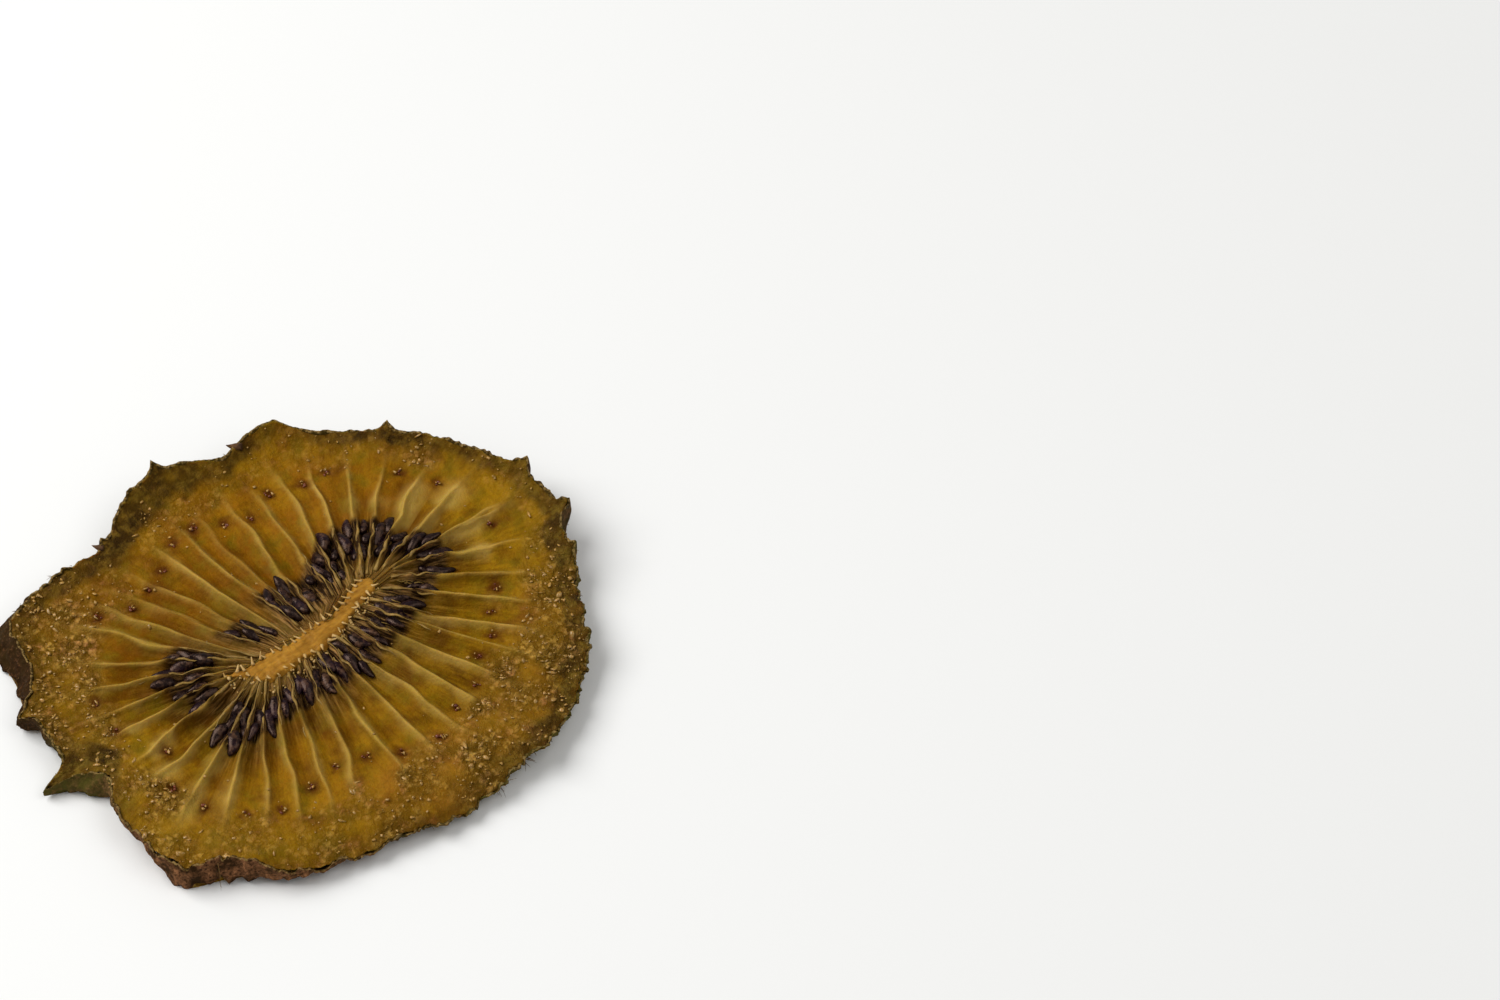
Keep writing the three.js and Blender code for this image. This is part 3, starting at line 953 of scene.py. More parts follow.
@dataclass(frozen=True)
class DriedPith(Finish):
    """The core's pith, dried hard and fibrous: pale tan with an orange cast, satin."""

    dark: str = "#6A400C"
    pale: str = "#B8842E"
    sheen: str = "#FFD090"
    fibre: float = 0.4  # mm between fibres, which run along the core
    patch: float = 2.0  # mm between paler and darker patches
    relief: float = 0.1  # mm that the fibres stand out
    lit: Contrast = (1.3, -0.95)
    gloss: Contrast = (0.4, 0.2)

    def sockets(self, node: AddNode) -> dict[str, Any]:
        """Draws the pith's patterns."""
        place = node("TexCoord", out="Object")
        stretched = node("Mapping", place, None, None, (0.35, 1.0, 1.0))
        fibres = node("TexNoise", stretched, per_metre(self.fibre), 5.0, 0.6, out="Fac")
        patches = node("TexNoise", place, per_metre(self.patch), 3.0, 0.5, out="Fac")
        lit = node("Math", fibres, 1.4, patches, operation="MULTIPLY_ADD")
        lit = node("Math", lit, *self.lit, **SCALED)
        return {
            "Base Color": node("Mix", lit, self.dark, self.pale, **LAYER),
            "Roughness": node("Math", fibres, *self.gloss, **SCALED),
            "Normal": node("Bump", 0.6, self.relief * MM, None, fibres),
            "IOR": 1.45,
            "Specular IOR Level": 0.2,
            "Specular Tint": self.sheen,
            "Subsurface Weight": 0.25,
            "Subsurface Radius": (1.0, 0.6, 0.2),
            "Subsurface Scale": 0.5 * MM,
        }


@dataclass(frozen=True)
class SeedCoat(Finish):
    """A seed's hard coat under a dried film of juice: purple-black, browner on its ridges, and glossy."""

    dark: str = "#0E0508"
    purple: str = "#1C0C1A"
    pale: str = "#5A3E2C"
    specular_tint: str = "#F0C8B0"
    ridge: float = 0.4  # mm between the coat's wrinkles
    patch: float = 2.0  # mm between purple patches
    relief: float = 0.09  # mm that the wrinkles stand out
    brown_ridges: Contrast = (4.5, -2.1)
    purple_patches: Contrast = (5.0, -2.5)
    gloss: Contrast = (0.9, -0.22)

    def sockets(self, node: AddNode) -> dict[str, Any]:
        """Draws the coat's patterns."""
        place = node("TexCoord", out="Object")
        film = node("Attribute", out="Fac", attribute_name="film")
        ridges = node("TexNoise", place, per_metre(self.ridge), 4.0, 0.6, out="Fac")
        lit = node("Math", ridges, *self.brown_ridges, **SCALED)
        lit = node("Math", lit, film, operation="MULTIPLY")
        patches = node("TexNoise", place, per_metre(self.patch), 2.0, 0.5, out="Fac")
        purple = node("Math", patches, *self.purple_patches, **SCALED)
        coat = node("Mix", purple, self.dark, self.purple, **LAYER)
        return {
            "Base Color": node("Mix", lit, coat, self.pale, **LAYER),
            "Roughness": node("Math", ridges, *self.gloss, **SCALED),
            "Normal": node("Bump", 0.6, self.relief * MM, None, ridges),
            "IOR": 1.5,
            "Specular IOR Level": 0.38,
            "Specular Tint": self.specular_tint,
        }


@dataclass(frozen=True)
class DriedFibre(Finish):
    """Strands of the rays: pale straw yellow, a little translucent, with a dull shine."""

    dark: str = "#5C4416"
    pale: str = "#AC8A48"
    knot: float = 0.7  # mm between paler and darker stretches
    knots: Contrast = (2.0, -0.55)
    gloss: float = 0.45
    shine: float = 0.2  # how much of a mirror the surface is

    def sockets(self, node: AddNode) -> dict[str, Any]:
        """Draws the fibre's paler and darker stretches."""
        place = node("TexCoord", out="Object")
        knots = node("TexNoise", place, per_metre(self.knot), 3.0, 0.6, out="Fac")
        lit = node("Math", knots, *self.knots, **SCALED)
        return {
            "Base Color": node("Mix", lit, self.dark, self.pale, **LAYER),
            "Roughness": self.gloss,
            "IOR": 1.45,
            "Specular IOR Level": self.shine,
            "Subsurface Weight": 0.2,
            "Subsurface Radius": (1.0, 0.6, 0.2),
            "Subsurface Scale": 0.3 * MM,
        }


@dataclass(frozen=True)
class SugarFleck(DriedFibre):
    """Flecks of dried sugar and broken cells: pale, wet-looking points in the pebbled flesh."""

    dark: str = "#80601E"
    pale: str = "#C2944E"
    knot: float = 1.1
    gloss: float = 0.22
    shine: float = 0.6


@dataclass(frozen=True)
class StalkTip(DriedFibre):
    """The broken tip of a seed's stalk: dried hard, pale straw yellow, and glinting."""

    dark: str = "#96702C"
    pale: str = "#E2BE80"
    knot: float = 0.5
    gloss: float = 0.3


@dataclass(frozen=True)
class VeinTip(DriedFibre):
    """The cut end of a vein, dried to a red-brown knot."""

    dark: str = "#40140A"
    pale: str = "#8A4A2A"
    knot: float = 0.3
    gloss: float = 0.25
    shine: float = 0.5


@dataclass(frozen=True)
class SkinHair(DriedFibre):
    """A bristle of the skin: dark brown and dull."""

    dark: str = "#2C1A0C"
    pale: str = "#6A4A2C"
    knot: float = 0.5
    gloss: float = 0.7


@dataclass(frozen=True)
class MattPaper(Finish):
    """The pale studio floor: matt white card."""

    white: str = "#F4F4F2"

    def sockets(self, node: AddNode) -> dict[str, Any]:
        """Says what each of the shader's sockets gets; card has no pattern, so no node is added."""
        return {"Base Color": self.white, "Roughness": 0.9, "Specular IOR Level": 0.1}


# ---- Where each pattern lies ---------------------------------------------------------------------


@dataclass(frozen=True)
class Places:
    """Places on a face, by share and turn, with their points."""

    face: Face
    share: np.ndarray
    turn: np.ndarray
    points: np.ndarray
    apart: float = 40.0  # from one face to the other in the random waves, so that they differ
    clumping: Lattice = Lattice(1.7, 33)

    @cached_property
    def flat(self) -> np.ndarray:
        """The points in plan, for reading random waves."""
        return self.points * (1, 1, 0) + (0, 0, self.face.value * self.apart)

    @cached_property
    def clumps(self) -> np.ndarray:
        """The random waves that clump the outer flesh."""
        return self.clumping.waves(self.flat)

    @cached_property
    def heading(self) -> np.ndarray:
        """The heading of each place, from 0 to 360."""
        return np.mod(FORM.heading(self.share, self.turn), FULL_TURN)

    def read(self, pairs: Pairs) -> np.ndarray:
        """Reads a table of values by heading."""
        return around(pairs, self.heading)

    def by_ray(self, lattice: Lattice, ray: float, share: float, face: float) -> np.ndarray:
        """Reads random waves along each place's nearest ray, that far apart by ray, share and face."""
        nearest = np.round(self.turn)
        return lattice.waves(flat_points(nearest * ray, self.share * share, self.face.value * face))


@dataclass(frozen=True)
class Pattern:
    """Where the seeds, the rays' colour, the pebbled flesh and the dark rim lie, by heading and share."""

    seeds_from: Pairs = (
        (0, 0.2), (27, 0.17), (40, 0.2), (55, 0.2), (63, 0.08), (84, 0.08), (113, 0.1), (137, 0.2),
        (172, 0.2), (208, 0.15), (222, 0.2), (245, 0.09), (320, 0.09), (347, 0.18),
    )
    seeds_to: Pairs = (
        (0, 0.36), (15, 0.37), (27, 0.29), (40, 0.42), (55, 0.41), (63, 0.36), (72, 0.28), (84, 0.23),
        (96, 0.27), (121, 0.25), (137, 0.35), (156, 0.4), (172, 0.32), (208, 0.38), (222, 0.36),
        (232, 0.28), (245, 0.24), (305, 0.23), (335, 0.26), (347, 0.33),
    )
    bare: Pairs = ((101, 110), (124, 132), (178, 203))  # headings between which there are no seeds
    halo_round: Pairs = (
        (0, 0.1), (60, 0.1), (120, 0.15), (160, 0.25), (200, 0.32), (240, 0.32), (320, 0.22),
    )
    ray_strength: Pairs = (
        (0, 1.1), (18, 1.2), (31, 1.2), (41, 0.8), (50, 1.1), (60, 1.1), (75, 0.75), (86, 0.75),
        (92, 0.35), (98, 0.8), (106, 0.9), (119, 0.45), (126, 0.8), (143, 0.9), (164, 1.0), (186, 1.2),
        (203, 1.2), (212, 1.1), (230, 0.8), (246, 0.9), (270, 0.9), (290, 1.0), (305, 0.9), (317, 1.1),
        (328, 1.1), (338, 0.7),
    )
    ray_width: Pairs = (
        (0, 0.5), (18, 0.62), (31, 0.52), (42, 0.38), (60, 0.36), (100, 0.36), (150, 0.38), (186, 0.46),
        (207, 0.56), (218, 0.5), (228, 0.38), (300, 0.36), (330, 0.38), (350, 0.42),
    )
    ray_along: Pairs = ((0, 0.8), (0.1, 1.0), (0.4, 1.0), (0.6, 0.95), (0.72, 0.65), (0.82, 0.2), (1, 0))
    light_round: Pairs = (
        (0, 0.22), (30, -0.12), (46, -0.15), (62, 0.26), (90, 0.08), (120, -0.2), (150, -0.15),
        (180, 0.1), (210, 0.1), (240, 0.2), (270, 0.16), (300, 0.18), (330, 0.14),
    )
    light_out: Pairs = (
        (0, 0.3), (0.25, 0.15), (0.45, 0.3), (0.6, 0.45), (0.75, 0.75), (0.9, 0.7), (1, 0.45),
    )
    warm_round: Pairs = (
        (0, 0.1), (30, 0.8), (60, 0.9), (90, 0.9), (120, 0.8), (150, 0.45), (180, 0.1), (210, 0.4),
        (240, 0.5), (270, 0.4), (300, 0.15), (330, 0.15),
    )
    blush_round: Pairs = ((0, 0), (240, 0), (270, 0.8), (300, 0.5), (322, 0.6), (345, 0))
    grain_from: Pairs = (
        (0, 0.84), (30, 0.85), (55, 0.82), (80, 0.8), (110, 0.72), (135, 0.66), (160, 0.66), (178, 0.8),
        (195, 0.72), (225, 0.74), (250, 0.8), (275, 0.74), (300, 0.68), (330, 0.7), (348, 0.8),
    )
    grain_amount: Pairs = (
        (0, 0.35), (30, 0.5), (50, 0.4), (66, 0.25), (80, 0.4), (110, 0.5), (135, 0.95), (160, 1.0),
        (178, 0.6), (195, 0.9), (222, 0.5), (245, 0.55), (275, 0.85), (300, 0.95), (330, 0.9), (348, 0.6),
    )
    rim_dark: Pairs = (
        (0, 0.7), (20, 0.75), (40, 0.95), (50, 0.85), (62, 0.4), (72, 0.8), (90, 0.9), (110, 0.95),
        (130, 0.6), (150, 0.3), (168, 0.4), (176, 1.0), (186, 0.6), (200, 0.15), (230, 0.1), (260, 0.3),
        (285, 0.6), (300, 0.8), (330, 0.8), (350, 1.0),
    )
    rim_from: Pairs = (
        (0, 0.93), (60, 0.95), (90, 0.9), (115, 0.89), (130, 0.92), (166, 0.94), (176, 0.83), (190, 0.95),
        (240, 0.96), (300, 0.93), (345, 0.91),
    )
    vein_ends: Pairs = (
        (0, 0.68), (24, 0.74), (36, 0.78), (56, 0.78), (63, 0.7), (72, 0.73), (79, 0.68), (86, 0.68),
        (93, 0.73), (100, 0.73), (108, 0.72), (115, 0.67), (122, 0.63), (127, 0.7), (157, 0.71),
        (171, 0.74), (190, 0.61), (202, 0.71), (214, 0.69), (225, 0.74), (234, 0.71), (242, 0.63),
        (250, 0.6), (259, 0.61), (268, 0.67), (278, 0.71), (287, 0.65), (296, 0.63), (304, 0.56),
        (313, 0.59), (322, 0.56), (333, 0.58),
    )
    bare_edge: float = 3  # degrees over which the seeds thin out beside a bare stretch
    blush_from: tuple[float, float] = (0.62, 0.75)
    stain: tuple[float, ...] = (190, 12, 0.2, 0.08)  # heading and share, each with its half width
    stain_depth: float = 0.8
    broad_out: tuple[float, float] = (0.25, 0.6)  # shares over which a wide ray spreads
    broad_width: tuple[float, float] = (0.42, 0.6)  # mm between which a ray counts as wide
    ray_sides: tuple[float, float] = (0.28, 0.66)  # of its width, the half widths of its sharp and soft side
    core_end: tuple[float, float] = (0.05, 0.2)  # shares over which the core's tissue ends
    grain_edge: tuple[float, float] = (-0.06, 0.08)
    rim_edge: tuple[float, float] = (-0.03, 0.02)
    pale_rim: tuple[float, float] = (0.75, 0.95)  # shares over which the warm colour fades
    vein_half: float = 0.52  # mm
    wander: Lattice = Lattice(1.0, 31, 0.4)  # how a ray strays from its smooth line
    swell: Lattice = Lattice(1.0, 40, 0.4)  # how its width varies along it
    fade: Lattice = Lattice(1.1, 32, 0.3)  # how its colour varies
    fray: Lattice = Lattice(0.35, 48, 0.35)  # how ragged its edges are
    sharp_side: Lattice = Lattice(1.0, 47)  # which side of it is the sharp one
    halo_patches: Lattice = Lattice(1.0, 49)  # how uneven the halo is from chamber to chamber
    chamber_light: Lattice = Lattice(1.0, 35, 0.2)
    rim_tears: Lattice = Lattice(0.7, 37, 0.02)  # how ragged the dark rim's inner edge is, in shares
    rim_mottle: Lattice = Lattice(0.9, 38, 0.35)
    vein_edge: Lattice = Lattice(0.4, 39, 0.26)  # how ragged a vein's stain is
    packing: Lattice = Lattice(0.5, 34)  # how the pebbles lie
    packing_bend: Lattice = Lattice(0.5, 36, 0.25)
    ridge_high: float = 0.28
    ridge_width: float = 0.4  # of the width of the ray's colour
    dents: Lattices = (Lattice(2.6, 41, 0.12), Lattice(0.7, 42, 0.045))
    folds: Lattice = Lattice(1.0, 45, 0.06)
    bed_streaks: Lattice = Lattice(1.0, 43)
    bed_high: float = 0.16
    pebble_high: float = 0.14
    pebble_middle: float = 0.35  # the height of a pebble's side that stays level with the face
    crumbs: Lattice = Lattice(0.3, 44, 0.13)
    vein_pit: float = 0.12

    def seeded(self, share: Any, turn: np.ndarray) -> np.ndarray:
        """Finds the seeds' bed.

        Args:
            share: The share of the way to the rim.
            turn: The turns.

        Returns:
            1 in the bed, and 0 elsewhere, with soft edges.
        """
        heading = np.mod(FORM.heading(share, turn), FULL_TURN)
        start, end = around(self.seeds_from, heading), around(self.seeds_to, heading)
        within = ramp(share, start - 0.1, start - 0.02) * (1 - ramp(share, end - 0.03, end + 0.03))
        edge = self.bare_edge
        for low, high in self.bare:
            bare = ramp(heading, low - edge, low + edge) * (1 - ramp(heading, high - edge, high + edge))
            within = within * (1 - bare)
        return within

    def halo(self, at: Places) -> np.ndarray:
        """The brown of the chambers where they leave the seeds' bed."""
        end = at.read(self.seeds_to)
        patches = self.halo_patches.waves(flat_points(np.floor(at.turn) * 4.7, at.share * 4))
        brown = at.read(self.halo_round) * (1 + patches) * ramp(at.share, 0.1, 0.2)
        return brown * (1 - ramp(at.share, end, end + 0.2))

    def turn_at(self, heading: float, share: float) -> float:
        """The turn that lies at a heading, at a share of the way to the rim."""
        rays = np.array([float(FORM.ray_heading(ray, share)) for ray in range(-1, FORM.chambers + 1)])
        ray = int(np.searchsorted(rays, heading)) - 1
        return ray - 1 + (heading - rays[ray]) / (rays[ray + 1] - rays[ray])

    def veins(self, face: Face) -> np.ndarray:
        """The places of the veins' cut ends, as points on a face."""
        shares = np.array([share for _, share in self.vein_ends])
        turns = np.array([self.turn_at(heading, share) for heading, share in self.vein_ends])
        return FORM.on_face(face, shares, turns)[0]

    def from_ray(self, at: Places) -> np.ndarray:
        """The distance to the nearest ray, whose line wanders."""
        straight = (at.turn - np.round(at.turn)) * FORM.chamber_width(at.share, at.turn)
        return straight + at.by_ray(self.wander, 7.7, 7, 5.5)

    def ray(self, at: Places) -> np.ndarray:
        """How much of the rays' colour shows: thin with one sharp side, or broad with a glow beside it."""
        off = self.from_ray(at)
        wide = at.read(self.ray_width) * (1 + at.by_ray(self.swell, 3.7, 9, 2.0))
        along = through(self.ray_along, at.share) * (0.85 + self.fade.waves(at.flat))
        broad = ramp(at.share, *self.broad_out) * ramp(wide, *self.broad_width)
        sharp = off * np.sign(at.by_ray(self.sharp_side, 5.1, 0, 0)) > 0
        frayed = wide * (1 + self.fray.waves(at.flat))
        thin = 0.95 * hump(off, frayed * (np.where(sharp, *self.ray_sides) + 0.3 * broad))
        glow = (0.12 + 0.7 * broad) * hump(off, wide * (1 + 0.9 * broad))
        return np.clip(along * at.read(self.ray_strength) * (thin + glow), 0, 1)

    def bed(self, at: Places) -> np.ndarray:
        """The seeds' bed, with its brown halo."""
        return np.maximum(self.seeded(at.share, at.turn), self.halo(at))

    def stained(self, at: Places) -> np.ndarray:
        """The brown stain where no seeds are."""
        heading, wide, share, long = self.stain
        return self.stain_depth * (hump(at.heading - heading, wide) * hump(at.share - share, long))

    def grain(self, at: Places) -> np.ndarray:
        """How thick the pebbled flesh near the rim lies."""
        low, high = self.grain_edge
        start = at.read(self.grain_from)
        grain = ramp(at.share + at.clumps * 0.1, start + low, start + high)
        return np.clip(grain * at.read(self.grain_amount) * (0.75 + 0.9 * at.clumps), 0, 1)

    def pebbles(self, at: Places) -> np.ndarray:
        """The height of the pebbles, from 0 to 1, each with a height of its own."""
        high, own = self.packing.pebbles(at.flat + self.packing_bend.waves(at.flat)[..., None])
        return np.clip(high * (0.3 + 1.1 * own), 0, 1)

    def rim(self, at: Places) -> np.ndarray:
        """How dark the torn edge of the rim is."""
        low, high = self.rim_edge
        start = at.read(self.rim_from)
        torn = at.clumps * 0.02 + self.rim_tears.waves(at.flat)
        rim = ramp(at.share + torn, start + low, start + high)
        return np.clip(rim * at.read(self.rim_dark) * (0.85 + self.rim_mottle.waves(at.flat)), 0, 1)

    def light(self, at: Places) -> np.ndarray:
        """How pale the chambers are: by heading, by share, and each one for itself."""
        own = self.chamber_light.waves(flat_points(np.floor(at.turn) * 3.3))
        return at.read(self.light_round) + through(self.light_out, at.share) + own

    def vein_stains(self, at: Places) -> np.ndarray:
        """How dark the ragged stain round each vein's cut end is."""
        ends = self.veins(at.face)
        near = np.min([np.linalg.norm((at.points - end)[..., :2], axis=-1) for end in ends], axis=0)
        near = near + self.vein_edge.waves(at.flat)
        return 0.9 * hump(near * (1 + 0.3 * at.clumps), self.vein_half)

    def marks(self, at: Places) -> dict[str, np.ndarray]:
        """Works out every mask of the flesh.

        Args:
            at: The places.

        Returns:
            A value at each place for each pattern that the flesh's finish or its relief reads.
        """
        bed, inner = self.bed(at), 1 - ramp(at.share, *self.core_end)
        warm = at.read(self.warm_round) * (1 - 0.5 * ramp(at.share, *self.pale_rim))
        return {
            "light": self.light(at),
            "warm": np.clip(warm + 0.25 * at.clumps, 0, 1),
            "blush": np.clip(at.read(self.blush_round), 0, 2) * ramp(at.share, *self.blush_from),
            "ray": self.ray(at) * (1 - 0.75 * bed),
            "bed": np.clip(np.maximum(bed, self.stained(at)) + 0.6 * inner * (1 - bed), 0, 1),
            "tissue": inner,
            "grain": self.grain(at),
            "pebble": self.pebbles(at),
            "rim": self.rim(at),
            "vein_end": self.vein_stains(at),
            "turn": at.turn,
            "share": at.share,
        }

    def raise_by(self, at: Places, marks: dict[str, np.ndarray]) -> np.ndarray:
        """Works out how far the patterns lift a face along Z.

        Args:
            at: The places.
            marks: The patterns there.

        Returns:
            The lift at each place, which is downwards on the under face.
        """
        flat, side = at.flat, at.face.value * 3.0
        ridge = self.ridge_high * hump(self.from_ray(at), at.read(self.ray_width) * self.ridge_width)
        ridge = ridge * through(self.ray_along, at.share) * at.read(self.ray_strength)
        folds = self.folds.waves(flat_points(at.turn * 3.5, at.share * 7, side))
        streaks = self.bed_streaks.waves(flat_points(at.turn * 9, at.share * 14, side))
        in_bed = self.bed_high * streaks * marks["bed"]
        pebbles = self.pebble_high * (marks["pebble"] - self.pebble_middle) * marks["grain"]
        crumbs = self.crumbs.waves(flat) * marks["grain"]
        pits = -self.vein_pit * marks["vein_end"]
        total = ridge + layered(self.dents, flat) + folds + in_bed + pebbles + crumbs + pits
        return total if at.face is Face.TOP else -FORM.under_relief * total


PATTERN = Pattern()


# ---- The pieces ----------------------------------------------------------------------------------


@dataclass(frozen=True)
class FleshBody:
    """The slice's flesh: one closed body from face to face, which the skin closes round."""

    skin: "SkinBand"
    spokes: int = 780
    inner_rings: int = 50
    outer_rings: int = 46
    outer_from: float = 0.74  # from this share to the rim the rings lie closer, for the pebbles
    under_rings: int = 24
    wall_rings: int = 3
    inset: float = 0.02  # from the solid's rim, so that the flesh's edge lies inside the skin
    under_inset: float = 0.1  # the same, more, on the under face
    waist: float = 0.6  # how far the hidden wall draws back behind the skin
    sunk: tuple[float, float] = (-0.04, 0.16)  # how far the flesh's edge lies below the skin's
    sinking: Lattice = Lattice(1.6, 46, 0.5)
    in_horns: float = 2.9  # how far out the top face's flesh follows a horn
    core_share: float = 0.55  # of the slit's size, the ring that closes a face under the core

    def face(self, face: Face, shares: np.ndarray, turns: np.ndarray) -> tuple[np.ndarray, dict[str, Any]]:
        """Builds a face with all its relief.

        Args:
            face: Which face it is.
            shares: The shares of its rings.
            turns: The turns of its spokes.

        Returns:
            Its points, ring by ring, and the value of each pattern there.
        """
        share, turn = (grid.ravel() for grid in np.meshgrid(shares, turns, indexing="ij"))
        points, rounds = FORM.on_face(face, share, turn)
        marks = PATTERN.marks(Places(face, share, turn, points))
        edge = share**FORM.horn_root
        back = np.full(len(points), self.inset + self.under_inset)
        if face is Face.TOP:
            lip = np.zeros(len(turns))
            crinkles = self.skin.crinkles(FORM.on_skin(lip, turns)[0], lip)
            back = self.inset - np.tile(crinkles, len(shares))
            back = back + np.maximum(FORM.horned(rounds, "out") - self.in_horns, 0)
        points = points - outward(rounds) * (back * edge)[:, None]
        points[:, 2] += PATTERN.raise_by(Places(face, share, turn, points), marks)
        if face is Face.TOP:
            depth = 0.5 + self.sinking.waves(flat_points(rounds * 0.35))
            points[:, 2] -= (self.sunk[0] + (self.sunk[1] - self.sunk[0]) * depth) * edge
        points[:, 2] = np.maximum(points[:, 2], 0)
        return points, marks

    def wall(self, upper: np.ndarray, lower: np.ndarray, turns: np.ndarray) -> np.ndarray:
        """The points between the rims of both faces, ring by ring, hidden behind the skin."""
        down = np.linspace(0, 1, self.wall_rings + 2)[1:-1, None, None]
        way = outward(FORM.plan(1.0, turns)[2])
        wall = upper + (lower - upper) * down
        return (wall - way * np.sin(math.pi * down) * self.waist).reshape(-1, 3)

    def under_core(self, rim: np.ndarray) -> list[np.ndarray]:
        """Closes a face's innermost ring under the core: a point in its middle, and a ring between."""
        middle = np.array([FORM.slit_middle - FORM.box_middle[0], 0.0, 0.0])
        middle[1] = FORM.spine(FORM.slit_middle) - FORM.box_middle[1]
        ring = middle + (rim - middle) * (self.core_share, self.core_share, 1)
        return [middle[None] + (0, 0, rim[:, 2].mean()), ring]

    def build(self) -> None:
        """Builds the flesh."""
        turns = FORM.turns(self.spokes)
        count = len(turns)
        inner = np.linspace(0, self.outer_from, self.inner_rings)
        outer = np.linspace(self.outer_from, 1, self.outer_rings + 1)[1:]
        top, top_marks = self.face(Face.TOP, np.concatenate([inner, outer]), turns)
        under, under_marks = self.face(Face.UNDER, np.linspace(1, 0, self.under_rings), turns)
        points = np.concatenate([
            *self.under_core(top[:count]), top, self.wall(top[-count:], under[:count], turns),
            under, *reversed(self.under_core(under[-count:])),
        ])
        marks = {}
        for name, upper in top_marks.items():
            lower = under_marks[name]
            wall = np.tile(upper[-count:], self.wall_rings)
            marks[name] = np.concatenate([
                upper[:1], upper[:count], upper, wall, lower, lower[-count:], lower[-1:],
            ])
        body = Mesh()
        body.add(points, ring_faces((len(points) - 2) // count, count), marks)
        piece = body.piece("dried_flesh", DriedFlesh().material(), Slot.FLESH)
        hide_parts(NODE)


@dataclass(frozen=True)
class Fold:
    """A fold of the skin: its round, half its width in degrees, and its depth."""

    at: float
    wide: float
    deep: float

    def reach(self, rounds: np.ndarray) -> np.ndarray:
        """How deep the fold is at each round."""
        return self.deep * hump(rounds - self.at, self.wide)


